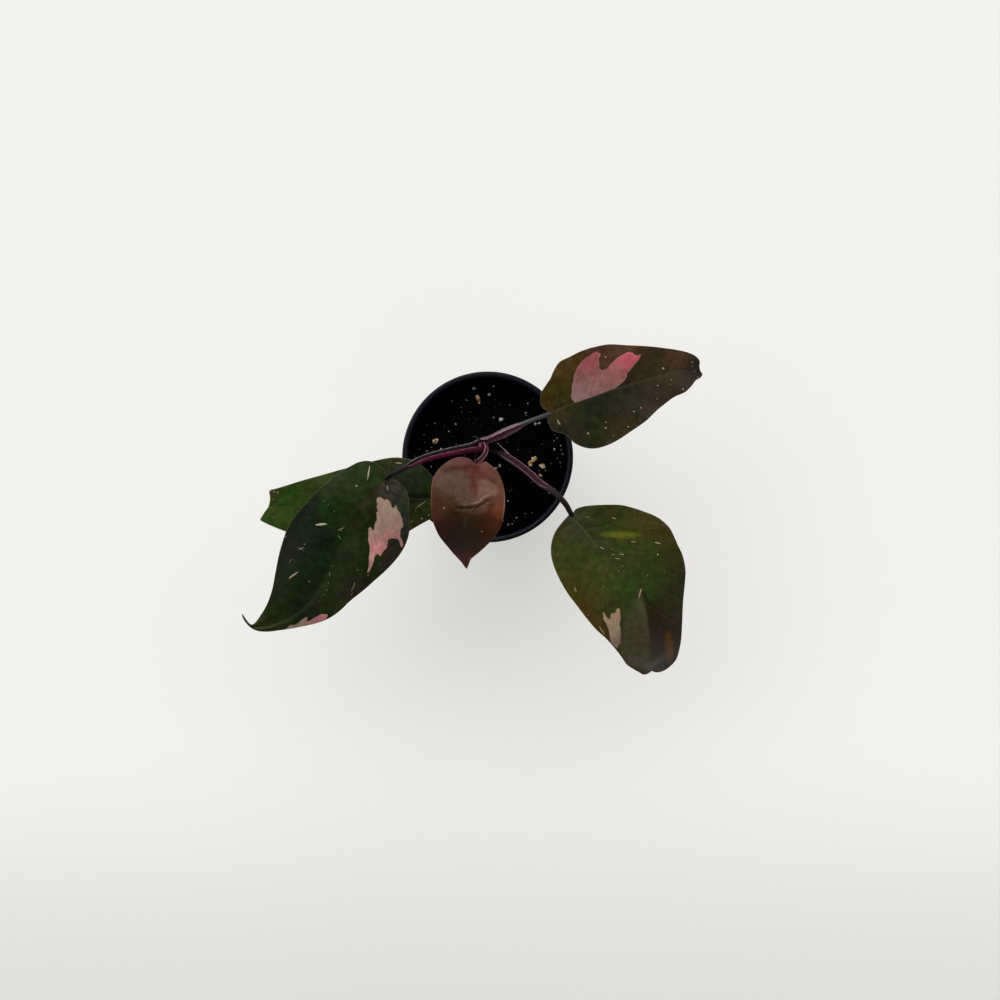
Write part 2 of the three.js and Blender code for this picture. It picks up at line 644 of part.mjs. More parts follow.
// The dried point of the sheath that wrapped the newest leaf in the bud.
function makeSheathSpike() {
  const curve = new THREE.CatmullRomCurve3([
    vector(STEM.x - 2.1, STEM.y + 2.2, STEM.top - 3),
    vector(STEM.x - 2.6, STEM.y + 2.8, STEM.top + 5),
    vector(STEM.x - 4.6, STEM.y + 4.6, STEM.top + 17),
  ]);
  const steps = 6;
  const rings = framesAlong(curve, steps, vector(0.75, 0.66, 0)).map((frame, k) => {
    const taper = 1 - 0.8 * k / steps;
    const ring = [];
    for (let i = 0; i < 8; i += 1) {
      const angle = 2 * Math.PI * i / 8;
      ring.push(frame.centre.clone()
        .addScaledVector(frame.side, 1.5 * taper * Math.cos(angle))
        .addScaledVector(frame.up, -0.55 * (0.4 + 0.6 * taper) * Math.sin(angle)));
    }
    return ring;
  });
  return toGeometry(toSolid(loft(rings)).subtract(stemRoom()));
}

// ---------- assembly ----------

addPiece('pot', makePot(), { color: 0x14161b, roughness: 0.45, metalness: 0 });
addPiece('soil', makeSoil(), { color: 0x0b0a09, roughness: 0.95, metalness: 0 });
addPiece('roots', toGeometry(rootSolid(0)), { color: 0xc9b48c, roughness: 0.8, metalness: 0 });
addPiece('stem', makeStem(), { color: 0x5f5a34, roughness: 0.6, metalness: 0 });
addPiece('sheath_spike', makeSheathSpike(), { color: 0xa58c86, roughness: 0.6, metalness: 0 });
for (const name of Object.keys(BLADES)) {
  const color = name === 'blade_new' ? 0x5a3226 : 0x2c3a1a;
  addPiece(name, makeBlade(name), { color, roughness: 0.35, metalness: 0 });
}
for (const name of Object.keys(PETIOLES)) {
  addPiece(name, makePetiole(name), { color: 0x5c2438, roughness: 0.4, metalness: 0 });
}

export default part;
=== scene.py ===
# %% [markdown]
# # A pink-blushed philodendron in its nursery pot
# This lesson dresses a young philodendron, five leaves around one short stem, in a thin black
# plastic pot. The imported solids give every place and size. Here each of them but the hidden roots is
# replaced by a finer mesh of the same form, because a leaf's gloss needs smooth curves, and every piece
# gets its own procedural finish. Sizes are written in millimetres, since that is how a grower would
# measure, and turned to metres last.

# %% Load the frame
from math import cos, sin, tan, pi, radians

import bpy
import bmesh
import numpy as np
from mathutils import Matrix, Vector, noise


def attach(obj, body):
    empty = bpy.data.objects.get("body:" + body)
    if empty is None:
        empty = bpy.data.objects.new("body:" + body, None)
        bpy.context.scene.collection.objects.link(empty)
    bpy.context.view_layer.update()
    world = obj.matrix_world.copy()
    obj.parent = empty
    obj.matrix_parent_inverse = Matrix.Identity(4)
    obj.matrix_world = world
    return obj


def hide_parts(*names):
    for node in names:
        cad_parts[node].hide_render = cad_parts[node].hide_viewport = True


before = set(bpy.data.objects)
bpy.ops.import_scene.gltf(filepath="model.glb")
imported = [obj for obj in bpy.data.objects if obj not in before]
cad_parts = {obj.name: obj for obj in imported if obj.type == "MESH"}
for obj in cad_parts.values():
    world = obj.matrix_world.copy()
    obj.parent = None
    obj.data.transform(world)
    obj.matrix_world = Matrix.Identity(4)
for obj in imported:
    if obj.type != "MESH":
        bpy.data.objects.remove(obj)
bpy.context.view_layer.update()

MM = 0.001
print("nodes:", ", ".join(sorted(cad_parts)))

# %% [markdown]
# ## Helpers for meshes
# A plant is a set of closed skins. They could be sculpted by hand, but a rule that can be read and
# changed is easier to keep true to size, so each skin here is a list of points and faces from a formula.
# Colour that follows the growth of a leaf is stored on the points, where the finish can read it.

# %% Meshes from points and faces
def outward(points, faces):
    """Faces turned so that a closed skin looks outward, judged by the sign of its volume."""
    volume = 0.0
    for face in faces:
        for near, far in zip(face[1:], face[2:]):
            volume += np.dot(points[face[0]], np.cross(points[near], points[far]))
    return faces if volume > 0 else [tuple(reversed(face)) for face in faces]


def carry(mesh, label, values):
    """Stores one number, vector or colour for each point of a mesh."""
    values = np.asarray(values, np.float32)
    kinds = {1: ("FLOAT", "value"), 3: ("FLOAT_VECTOR", "vector"), 4: ("FLOAT_COLOR", "color")}
    kind, field = kinds[1 if values.ndim == 1 else values.shape[1]]
    mesh.attributes.new(label, kind, "POINT").data.foreach_set(field, values.ravel())


def make_piece(name, points, faces, finishes, finish_of_face=None, carried=None):
    """A named mesh that rides on the plant. Points are in millimetres."""
    mesh = bpy.data.meshes.new(name)
    mesh.from_pydata((np.asarray(points, float) * MM).tolist(), [], faces)
    for finish in finishes:
        mesh.materials.append(finish)
    if finish_of_face is not None:
        mesh.polygons.foreach_set("material_index", finish_of_face)
    mesh.polygons.foreach_set("use_smooth", [True] * len(faces))
    for label, values in (carried or {}).items():
        carry(mesh, label, values)
    mesh.update()
    piece = bpy.data.objects.new(name, mesh)
    bpy.context.scene.collection.objects.link(piece)
    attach(piece, "root")
    return piece


def rings_to_faces(rings, sides):
    """Quads between rings of points that follow each other."""
    faces = []
    for ring in range(rings - 1):
        for i in range(sides):
            here, beside = ring * sides + i, ring * sides + (i + 1) % sides
            faces.append((here, beside, beside + sides, here + sides))
    return faces


def lathe(outline, sides):
    """A turned skin. The outline runs from axis to axis as [radius, height]."""
    angles = np.linspace(0, 2 * pi, sides, endpoint=False)
    rings = [[(r * cos(a), r * sin(a), z) for a in angles] for r, z in outline[1:-1]]
    points = [p for ring in rings for p in ring]
    faces = rings_to_faces(len(rings), sides)
    for z, first in ((outline[0][1], 0), (outline[-1][1], (len(rings) - 1) * sides)):
        points.append((0, 0, z))
        pole = len(points) - 1
        for i in range(sides):
            pair = (first + (i + 1) % sides, first + i)
            faces.append((pole, *pair) if first == 0 else (pole, *pair[::-1]))
    points = np.array(points)
    return points, outward(points, faces)


def soft_corners(outline, reach, steps=4):
    """Every inner corner of an open outline becomes a small curve."""
    soft = [tuple(outline[0])]
    for before, corner, after in zip(outline, outline[1:], outline[2:]):
        before, corner, after = (np.array(p, float) for p in (before, corner, after))
        arms = []
        for other in (before, after):
            arm = other - corner
            length = np.linalg.norm(arm)
            arms.append(corner + arm / length * min(reach, 0.45 * length))
        for t in np.linspace(0, 1, steps + 1):
            soft.append(tuple((1 - t) ** 2 * arms[0] + 2 * t * (1 - t) * corner + t ** 2 * arms[1]))
    return soft + [tuple(outline[-1])]


# %% [markdown]
# ## Helpers for curves
# Leaf outlines, midribs and stalks are all smooth lines through a few measured places. A hand-drawn
# Bezier would need its handles tuned one by one. A Catmull-Rom line passes through the places
# themselves, so the numbers stay easy to read, and points along it are spaced by true length.

# %% Smooth lines through measured places
LINE_DETAIL = 40       # points between two measured places


def cubic(start, end, leave, arrive, w):
    """The place at share w of a stretch, from its two ends and the ways it leaves and arrives."""
    bend = (2 * start - 2 * end + leave + arrive) * w**3
    return bend + (3 * end - 3 * start - 2 * leave - arrive) * w**2 + leave * w + start


def smooth_line(places):
    """A line through places in the plane, with even weight on each stretch."""
    p = np.asarray(places, float)
    last = len(p) - 1
    t = np.linspace(0, last, last * LINE_DETAIL + 1)
    i = np.minimum(t.astype(int), last - 1)
    before, start, end, after = p[np.maximum(i - 1, 0)], p[i], p[i + 1], p[np.minimum(i + 2, last)]
    return cubic(start, end, (end - before) / 2, (after - start) / 2, (t - i)[:, None])


def stalk_line(places):
    """A line through places in space that can't overshoot where they lie close together."""
    p = [np.array(place, float) for place in places]
    p = [2 * p[0] - p[1], *p, 2 * p[-1] - p[-2]]
    line = []
    for a, b, c, d in zip(p, p[1:], p[2:], p[3:]):
        ta, tb, tc = (max(np.linalg.norm(v - u), 1e-6) ** 0.5 for u, v in ((a, b), (b, c), (c, d)))
        leave = ((b - a) / ta - (c - a) / (ta + tb) + (c - b) / tb) * tb
        arrive = ((c - b) / tb - (d - b) / (tb + tc) + (d - c) / tc) * tb
        line += [cubic(b, c, leave, arrive, w) for w in np.linspace(0, 1, LINE_DETAIL, endpoint=False)]
    return np.array(line + [p[-2]])


def at_shares(line, shares):
    """Places at shares of the line's true length."""
    run = np.concatenate([[0], np.cumsum(np.linalg.norm(np.diff(line, axis=0), axis=1))])
    wanted = np.asarray(shares) * run[-1]
    return np.stack([np.interp(wanted, run, line[:, k]) for k in range(line.shape[1])], -1)


def smoothstep(value, low, high):
    share = np.clip((value - low) / (high - low), 0, 1)
    return share * share * (3 - 2 * share)


# %% Distances to lines and outlines
def line_distance(places, line):
    """Distance in mm from each place to the nearest stretch of a line."""
    nearest = np.full(len(places), 1e9)
    for start, end in zip(line, line[1:]):
        run = end - start
        reach = np.clip(((places - start) @ run) / max(run @ run, 1e-9), 0, 1)
        nearest = np.minimum(nearest, np.linalg.norm(places - start - reach[:, None] * run, axis=1))
    return nearest


def inside_distance(places, outline):
    """Distance in mm from each place to a closed outline: positive inside it, negative outside."""
    outline = np.asarray(outline, float)
    inside = np.zeros(len(places), bool)
    for (ax, ay), (bx, by) in zip(outline, np.roll(outline, -1, axis=0)):
        crosses = (ay > places[:, 1]) != (by > places[:, 1])
        with np.errstate(divide="ignore", invalid="ignore"):
            at = ax + (places[:, 1] - ay) * (bx - ax) / (by - ay)
        inside ^= crosses & (places[:, 0] < at)
    nearest = line_distance(places, np.concatenate([outline, outline[:1]]))
    return np.where(inside, nearest, -nearest)


# %% [markdown]
# ## Helpers for finishes
# Every finish is a small graph of nodes behind one Principled shader. Wiring them in the editor would
# be just as good. In a script, short helpers that return a socket keep each graph readable as a sum.

# %% Nodes as short calls
def paint(red, green, blue):
    """A colour given as 0 to 255, turned to the linear light that shaders add up."""
    linear = []
    for value in (red, green, blue):
        share = value / 255
        linear.append(share / 12.92 if share <= 0.04045 else ((share + 0.055) / 1.055) ** 2.4)
    return (*linear, 1.0)


def new_finish(name, roughness, gloss):
    material = bpy.data.materials.new(name)
    material.use_nodes = True
    shader = material.node_tree.nodes["Principled BSDF"]
    shader.inputs["Roughness"].default_value = roughness
    shader.inputs["Specular IOR Level"].default_value = gloss
    return material, material.node_tree, shader


def feed(tree, socket, value):
    """Wires a socket, or sets its number or colour."""
    if isinstance(value, bpy.types.NodeSocket):
        tree.links.new(value, socket)
    else:
        socket.default_value = value


def calc(tree, operation, first, second=0.0):
    node = tree.nodes.new("ShaderNodeMath")
    node.operation = operation
    feed(tree, node.inputs[0], first)
    feed(tree, node.inputs[1], second)
    return node.outputs[0]


def blend(tree, share, first, second, way="MIX"):
    node = tree.nodes.new("ShaderNodeMix")
    node.data_type = "RGBA"
    node.blend_type = way
    feed(tree, node.inputs[0], share)
    feed(tree, node.inputs[6], first)
    feed(tree, node.inputs[7], second)
    return node.outputs[2]


def ramp(tree, value, low, high, start=0.0, end=1.0):
    """start below low, end above high, and an eased change between."""
    node = tree.nodes.new("ShaderNodeMapRange")
    node.interpolation_type = "SMOOTHSTEP"
    for socket, number in zip(node.inputs, (value, low, high, start, end)):
        feed(tree, socket, number)
    return node.outputs[0]


def carried(tree, label, output="Fac"):
    node = tree.nodes.new("ShaderNodeAttribute")
    node.attribute_name = label
    return node.outputs[output]


def stretched(tree, factors, source=None):
    """Positions in metres, or a carried vector, multiplied axis by axis."""
    node = tree.nodes.new("ShaderNodeVectorMath")
    node.operation = "MULTIPLY"
    feed(tree, node.inputs[0], source or tree.nodes.new("ShaderNodeTexCoord").outputs["Object"])
    node.inputs[1].default_value = factors
    return node.outputs[0]


def place_along(tree, axis):
    """The place along one axis, in metres."""
    split = tree.nodes.new("ShaderNodeSeparateXYZ")
    tree.links.new(tree.nodes.new("ShaderNodeTexCoord").outputs["Object"], split.inputs[0])
    return split.outputs[axis]


def mottle(tree, factors, source=None, detail=3.0):
    """Soft noise from 0 to 1. The factors say how many of its lumps fit in a metre, axis by axis, or
    in one unit of a carried vector."""
    node = tree.nodes.new("ShaderNodeTexNoise")
    feed(tree, node.inputs["Vector"], stretched(tree, factors, source))
    node.inputs["Scale"].default_value = 1.0
    node.inputs["Detail"].default_value = detail
    return node.outputs["Fac"]


def cells(tree, size):
    """Distance to the nearest of many scattered points, that many to a metre."""
    node = tree.nodes.new("ShaderNodeTexVoronoi")
    feed(tree, node.inputs["Vector"], stretched(tree, (size, size, size)))
    node.inputs["Scale"].default_value = 1.0
    return node.outputs["Distance"]


def relief(tree, shader, height, depth, strength=1.0):
    """Fine relief of that depth in millimetres, too small to be worth real geometry."""
    node = tree.nodes.new("ShaderNodeBump")
    node.inputs["Strength"].default_value = strength
    node.inputs["Distance"].default_value = depth * MM
    feed(tree, node.inputs["Height"], height)
    tree.links.new(node.outputs[0], shader.inputs["Normal"])


# %% [markdown]
# ## Camera, floor and light
# The plant is seen from straight above, as growers picture a plant for sale. The light comes from a
# bright white room: a pale dome that is brightest at the back and the left, and dim overhead where
# the camera hangs. A sun lamp would print hard shadows. A dome painted by direction gives the soft
# shadows of a white tent, and leaves reflect it as they would real walls. The floor glows a little, as a
# light table does, so that the shadows on it stay pale. Its colour is also darkened toward the front:
# painted shade, where the room's light falls off.

# %% Camera straight above
CAMERA_PLACE = (7.8, -27.2, 754.0)
SENSOR, LENS = 36.0, 37.8
DEEPER_DARKS = 0.8     # below 1 the view's gamma deepens the darks, as a camera's own curve does
camera_data = bpy.data.cameras.new("camera")
camera_data.sensor_width = SENSOR
camera_data.lens = LENS
camera_data.clip_start = 0.01
camera = bpy.data.objects.new("camera", camera_data)
camera.location = [v * MM for v in CAMERA_PLACE]
bpy.context.scene.collection.objects.link(camera)
bpy.context.scene.camera = camera
bpy.context.scene.view_settings.view_transform = "Standard"
bpy.context.scene.view_settings.gamma = DEEPER_DARKS
print("camera", CAMERA_PLACE, "mm, looking straight down")

# %% Pale floor
FLOOR_HALF = 2500.0
TABLE_GLOW = 0.5
DIM_END, DIM_START, DIM_LEFT = -400.0, -190.0, 0.69    # the colour fades to that share between these places


def floor_finish():
    material, tree, shader = new_finish("pale_floor", roughness=0.85, gloss=0.1)
    colour = blend(tree, mottle(tree, (3, 3, 3), detail=2.0), paint(174, 173, 170), paint(177, 177, 174))
    # painted shade: the floor's colour is darkened toward the front, where the room's light falls off
    painted_falloff_toward_front = ramp(tree, place_along(tree, "Y"), DIM_END * MM, DIM_START * MM, DIM_LEFT, 1.0)
    feed(tree, shader.inputs["Base Color"], blend(tree, 1.0, colour, painted_falloff_toward_front, "MULTIPLY"))
    shader.inputs["Emission Color"].default_value = (1.0, 1.0, 0.985, 1.0)
    shader.inputs["Emission Strength"].default_value = TABLE_GLOW
    return material


floor_mesh = bpy.data.meshes.new("floor")
corners = [(x * FLOOR_HALF * MM, y * FLOOR_HALF * MM, 0) for x, y in ((-1, -1), (1, -1), (1, 1), (-1, 1))]
floor_mesh.from_pydata(corners, [], [(0, 1, 2, 3)])
floor_mesh.materials.append(floor_finish())
floor = bpy.data.objects.new("floor", floor_mesh)
bpy.context.scene.collection.objects.link(floor)

# %% A white room as a dome of light
OVERHEAD, FRONT, BACK, WINDOW = 0.04, 0.42, 2.0, 1.2   # brightness straight up, at the walls, at the window
BACK_WAY = Vector((-0.34, 0.94, 0.0))
WINDOW_WAY = Vector((-0.35, 0.75, 0.56)).normalized()
BACK_EDGE, CEILING_EDGE, WINDOW_EDGE = (-0.45, 0.6), (0.62, 0.95), (0.66, 0.97)    # starts, and is full


def light_room():
    world = bpy.data.worlds.new("white_room")
    world.use_nodes = True
    bpy.context.scene.world = world
    tree = world.node_tree
    way = tree.nodes.new("ShaderNodeTexCoord").outputs["Generated"]
    split = tree.nodes.new("ShaderNodeSeparateXYZ")
    tree.links.new(way, split.inputs[0])
    share = {}
    for label, aim in (("back", BACK_WAY), ("window", WINDOW_WAY)):
        toward = tree.nodes.new("ShaderNodeVectorMath")
        toward.operation = "DOT_PRODUCT"
        tree.links.new(way, toward.inputs[0])
        toward.inputs[1].default_value = aim
        share[label] = toward.outputs["Value"]
    walls = ramp(tree, share["back"], *BACK_EDGE, FRONT, BACK)
    room = ramp(tree, split.outputs["Z"], *CEILING_EDGE, walls, OVERHEAD)
    window = ramp(tree, share["window"], *WINDOW_EDGE, 0.0, WINDOW)
    dome = tree.nodes["Background"]
    dome.inputs["Color"].default_value = (1.0, 0.995, 0.98, 1.0)
    feed(tree, dome.inputs["Strength"], calc(tree, "ADD", room, window))


light_room()

# %% [markdown]
# ## The pot
# A nursery pot is one thin skin of black plastic, drawn or blown into a mould: a foot ring, a slightly
# raised floor with drain holes, a tapered wall, an outward step that lets pots nest, and a rolled rim.
# Boxes and booleans could rough it out, but it was made round, so it is turned as one outline. Only the
# drain holes are cut. The plastic is satin, with a fine moulded grain and patches of dull dust. The crown
# of its rim is painted a lighter grey on its inner rounding: a painted highlight.

# %% Pot sizes and outline
RIM_RADIUS, POT_HEIGHT, RIM_WIDTH = 54.0, 92.0, 3.2
FOOT_RADIUS, STEP_RADIUS, STEP_HEIGHT, WALL = 38.5, 50.0, 76.0, 1.2
FLOOR_RECESS = 2.0
DRAIN_COUNT, DRAIN_RING, DRAIN_RADIUS = 8, 22.0, 3.5
DRILL_LOW, DRILL_HIGH, DRILL_SIDES = -3, 7, 32
POT_SIDES = 180
POT_OUTLINE = [
    (0, 0), (12, 0), (13.5, FLOOR_RECESS), (30, FLOOR_RECESS), (31.5, 0),
    (FOOT_RADIUS - 1.2, 0), (FOOT_RADIUS, 1.4),
    (STEP_RADIUS, STEP_HEIGHT), (STEP_RADIUS + 1.4, STEP_HEIGHT + 1.4),
    (STEP_RADIUS + 1.9, POT_HEIGHT - 4), (RIM_RADIUS - 0.7, POT_HEIGHT - 3.4),
    (RIM_RADIUS, POT_HEIGHT - 2.4), (RIM_RADIUS, POT_HEIGHT - 0.9),
    (RIM_RADIUS - 0.9, POT_HEIGHT), (RIM_RADIUS - RIM_WIDTH + 0.8, POT_HEIGHT),
    (RIM_RADIUS - RIM_WIDTH, POT_HEIGHT - 0.9),
    (STEP_RADIUS + 0.3, STEP_HEIGHT + 2.3), (STEP_RADIUS - WALL, STEP_HEIGHT + 0.9),
    (FOOT_RADIUS - WALL, 2.2), (FOOT_RADIUS - 2, 1.4),
    (32.5, 1.4), (30.5, FLOOR_RECESS + WALL), (13, FLOOR_RECESS + WALL), (11, WALL), (0, WALL),
]


def cut_with(piece, cutter):
    """Cuts one closed mesh out of another and keeps the plain result."""
    cut = piece.modifiers.new("cut", "BOOLEAN")
    cut.operation = "DIFFERENCE"
    cut.object = cutter
    bpy.context.view_layer.update()
    whole = piece.evaluated_get(bpy.context.evaluated_depsgraph_get())
    piece.data = bpy.data.meshes.new_from_object(whole)
    piece.modifiers.clear()
    bpy.data.objects.remove(cutter)


# %% Black plastic
def pot_finish():
    material, tree, shader = new_finish("black_moulded_plastic", roughness=0.42, gloss=0.24)
    grain = mottle(tree, (1400, 1400, 1400), detail=2.0)
    scuffs = mottle(tree, (60, 60, 190), detail=5.0)
    dust = calc(tree, "MULTIPLY", ramp(tree, scuffs, 0.48, 0.72), 0.5)
    radius = tree.nodes.new("ShaderNodeVectorMath")
    radius.operation = "LENGTH"
    feed(tree, radius.inputs[0], stretched(tree, (1, 1, 0)))
    # painted highlight: the crown of the rim is painted a lighter grey on its inner rounding, less so on its
    # outside
    inside = ramp(tree, radius.outputs["Value"], (RIM_RADIUS - 2.5) * MM, (RIM_RADIUS - 1) * MM, 1.0, 0.2)
    rim_highlight_crown = ramp(tree, place_along(tree, "Z"), (POT_HEIGHT - 3.5) * MM, (POT_HEIGHT - 0.8) * MM)
    plain = blend(tree, calc(tree, "MULTIPLY", rim_highlight_crown, inside), paint(13, 14, 19), paint(38, 42, 54))
    feed(tree, shader.inputs["Base Color"], blend(tree, dust, plain, paint(44, 45, 48)))
    feed(tree, shader.inputs["Roughness"], ramp(tree, scuffs, 0.3, 0.75, 0.36, 0.58))
    relief(tree, shader, grain, depth=0.05, strength=0.6)
    return material


# %% Turn the pot and drill its floor
pot_points, pot_faces = lathe(soft_corners(POT_OUTLINE, reach=0.8), POT_SIDES)
pot = make_piece("nursery_pot", pot_points, pot_faces, [pot_finish()])
drill_points, drill_faces = [], []
for hole in range(DRAIN_COUNT):
    angle = 2 * pi * hole / DRAIN_COUNT
    outline = [(0, DRILL_LOW), (DRAIN_RADIUS, DRILL_LOW), (DRAIN_RADIUS, DRILL_HIGH), (0, DRILL_HIGH)]
    points, faces = lathe(outline, DRILL_SIDES)
    drill_faces += [tuple(i + len(drill_points) for i in face) for face in faces]
    drill_points += list(points + np.array([DRAIN_RING * cos(angle), DRAIN_RING * sin(angle), 0]))
drill = make_piece("drill", drill_points, drill_faces, [])
cut_with(pot, drill)
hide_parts("pot")
print("pot:", len(pot.data.polygons), "faces,", DRAIN_COUNT, "drain holes")

# %% [markdown]
# ## The potting mix
# Potting mix is dark peat and coco with white perlite and a few bark chips in its surface. One bumpy
# sheet looks like cloth, and millions of grains are slow. So a closed bed has low swells, and a few
# thousand crumbs lie half sunk in its top, with the larger perlite and chips set where they show.

# %% Shape of the bed
STEM_X, STEM_Y = -3.0, 7.5
SOIL_LEVEL, SOIL_BOTTOM, SOIL_ROUGHNESS = 80.0, 3.6, 1.1
SOIL_RADIUS, SOIL_GAP = STEP_RADIUS - 0.15, 0.45    # the gap is to the wall below the step
BED_RINGS, BED_SIDES = 84, 240


def soil_height(x, y):
    """Low swells and hollows of the surface."""
    swell = sin(0.13 * x + 1.1) * cos(0.11 * y - 0.4) + 0.4 * sin(0.21 * y + 0.17 * x)
    return SOIL_LEVEL + SOIL_ROUGHNESS * swell


def clod(x, y):
    """The bed's own lumps on top of its swells."""
    coarse = noise.noise(Vector((x * 0.22, y * 0.22, 3.1)))
    fine = noise.noise(Vector((x * 0.8, y * 0.8, 7.7)))
    return 0.55 * coarse + 0.35 * fine


def make_bed(finish):
    foot, shoulder = FOOT_RADIUS - WALL - SOIL_GAP, STEP_RADIUS - WALL - SOIL_GAP
    outline = [(foot, SOIL_BOTTOM), (shoulder, STEP_HEIGHT + 0.9), (SOIL_RADIUS, STEP_HEIGHT + 2.3)]
    angles = np.linspace(0, 2 * pi, BED_SIDES, endpoint=False)
    points = [(r * cos(a), r * sin(a), z) for r, z in outline for a in angles]
    radii = SOIL_RADIUS * (1 - np.arange(BED_RINGS) / BED_RINGS)
    for r in radii:
        for a in angles:
            x, y = r * cos(a), r * sin(a)
            points.append((x, y, soil_height(x, y) + clod(x, y) * min(1, (SOIL_RADIUS - r) / 2)))
    rings = len(outline) + BED_RINGS
    faces = rings_to_faces(rings, BED_SIDES)
    points += [(0, 0, soil_height(0, 0)), (0, 0, SOIL_BOTTOM)]
    top, bottom, last = len(points) - 2, len(points) - 1, (rings - 1) * BED_SIDES
    for i in range(BED_SIDES):
        j = (i + 1) % BED_SIDES
        faces += [(top, last + i, last + j), (bottom, j, i)]
    points = np.array(points)
    return make_piece("potting_mix_bed", points, outward(points, faces), [finish])


# %% Crumbs, perlite and chips as many small lumps in one mesh
def lump_pattern(divisions):
    form = bmesh.new()
    bmesh.ops.create_icosphere(form, subdivisions=divisions, radius=1.0)
    points = np.array([v.co for v in form.verts])
    faces = np.array([[v.index for v in f.verts] for f in form.faces])
    form.free()
    return points, faces


def turned(random, steep):
    """A random turn, mostly about the upright axis when steep is small."""
    spin = random.uniform(0, 2 * pi)
    tip, roll = random.uniform(-1, 1) * steep, random.uniform(-1, 1) * steep
    about_z = np.array([[cos(spin), -sin(spin), 0], [sin(spin), cos(spin), 0], [0, 0, 1]])
    about_x = np.array([[1, 0, 0], [0, cos(tip), -sin(tip)], [0, sin(tip), cos(tip)]])
    about_y = np.array([[cos(roll), 0, sin(roll)], [0, 1, 0], [-sin(roll), 0, cos(roll)]])
    return about_z @ about_x @ about_y


def make_lumps(name, lumps, divisions, roughness, finish, seed):
    """lumps are (centre, half sizes, steep). Each one is dented in its own way."""
    random = np.random.default_rng(seed)
    pattern, pattern_faces = lump_pattern(divisions)
    points, faces, shades = [], [], []
    for index, (centre, sizes, steep) in enumerate(lumps):
        dents = 1 + roughness * random.uniform(-1, 1, (len(pattern), 1))
        points.append((pattern * dents * np.array(sizes)) @ turned(random, steep).T + np.array(centre))
        faces.append(pattern_faces + index * len(pattern))
        shades.append(np.full(len(pattern), random.uniform(0, 1)))
    points, faces = np.concatenate(points), [tuple(f) for f in np.concatenate(faces).tolist()]
    shades = {"shade": np.concatenate(shades)}
    piece = make_piece(name, points, faces, [finish], carried=shades)
    piece.data.polygons.foreach_set("use_smooth", [False] * len(faces))
    print(name, len(lumps), "lumps,", len(faces), "faces")


# %% Potting mix finishes
def earth_finish(name, dark, light, gloss):
    material, tree, shader = new_finish(name, roughness=0.95, gloss=gloss)
    patches = mottle(tree, (220, 220, 220), detail=5.0)
    fibres = mottle(tree, (2600, 900, 1500), detail=4.0)
    share = calc(tree, "MULTIPLY", ramp(tree, patches, 0.35, 0.75), ramp(tree, fibres, 0.3, 0.8))
    varied = calc(tree, "ADD", share, calc(tree, "MULTIPLY", carried(tree, "shade"), 0.35))
    feed(tree, shader.inputs["Base Color"], blend(tree, varied, dark, light))
    relief(tree, shader, fibres, depth=0.3, strength=0.8)
    return material


def perlite_finish():
    material, tree, shader = new_finish("perlite", roughness=0.9, gloss=0.2)
    pores = ramp(tree, cells(tree, 2600), 0.05, 0.5)
    dirt = ramp(tree, mottle(tree, (900, 900, 900), detail=4.0), 0.42, 0.66)
    clean = blend(tree, carried(tree, "shade"), paint(150, 150, 150), paint(226, 226, 226))
    soiled = blend(tree, calc(tree, "MULTIPLY", dirt, 0.6), clean, paint(70, 68, 66))
    feed(tree, shader.inputs["Base Color"], blend(tree, pores, paint(84, 80, 74), soiled))
    relief(tree, shader, pores, depth=0.25, strength=0.8)
    return material


def bark_finish():
    material, tree, shader = new_finish("bark_chip", roughness=0.85, gloss=0.25)
    fibres = mottle(tree, (500, 2400, 1500), detail=4.0)
    stain = ramp(tree, mottle(tree, (420, 420, 420)), 0.46, 0.62)
    wood = blend(tree, ramp(tree, fibres, 0.3, 0.7), paint(176, 146, 92), paint(240, 230, 208))
    feed(tree, shader.inputs["Base Color"], blend(tree, stain, wood, paint(132, 88, 40)))
    relief(tree, shader, fibres, depth=0.3, strength=0.8)
    return material


# %% Lay the mix
CRUMBS, DUST_GRAINS = 3400, 210
STEM_CLEARANCE, WALL_CLEARANCE = 4.5, 1.8
PERLITE = [    # x, y, half size: the grains that lie in plain sight
    (3.6, 45.8, 0.8), (-8.7, 44.2, 1.2), (1.1, 40.4, 1.3), (29.3, 37.5, 0.5), (25.7, 34.6, 0.6),
    (24.4, 28.5, 0.9), (3.8, 25.8, 0.7), (8.6, 24.4, 1.4), (30.6, 21.4, 1.1), (33.0, 22.0, 1.0),
    (-20.6, 21.3, 0.7), (-25.3, 16.9, 0.7), (42.8, 5.3, 0.9), (46.4, -3.0, 0.7), (40.8, -18.9, 0.5),
    (42.4, -20.0, 0.8), (39.2, -22.6, 0.7), (13.1, -43.0, 0.7), (15.6, -42.6, 0.6), (7.5, -5.2, 1.0),
    (36.9, -8.4, 0.6), (-39.0, 4.0, 0.6), (48.0, 2.0, 0.7), (46.8, 7.5, 0.6), (-30.0, 5.5, 0.8),
    (13.0, -28.0, 0.6), (24.0, -36.0, 0.5), (-14.0, 37.0, 0.5), (14.0, 34.0, 0.5), (-34.0, 22.0, 0.5),
    (44.5, 12.5, 0.5), (46.0, 10.0, 0.45), (43.8, 9.4, 0.4), (47.0, 5.0, 0.4), (45.2, 2.6, 0.4),
    (44.6, -0.4, 0.35), (46.6, -6.0, 0.35), (43.0, 14.6, 0.4), (10.0, -40.5, 0.45), (17.8, -38.6, 0.4),
]
CHIPS = [      # x, y, half length, half width, turn in degrees: bark and coco chips
    (-6.2, 37.4, 3.6, 1.8, 100), (-33.6, 10.5, 1.8, 1.9, 30), (29.8, -1.2, 1.7, 2.1, 20),
    (27.4, -3.9, 1.6, 1.9, 110), (35.0, -5.4, 2.0, 1.8, 150), (33.6, -11.4, 1.9, 1.1, 140),
    (5.0, -7.0, 2.0, 0.9, 20),
]


def lie(x, y, rise):
    return (x, y, soil_height(x, y) + clod(x, y) + rise)


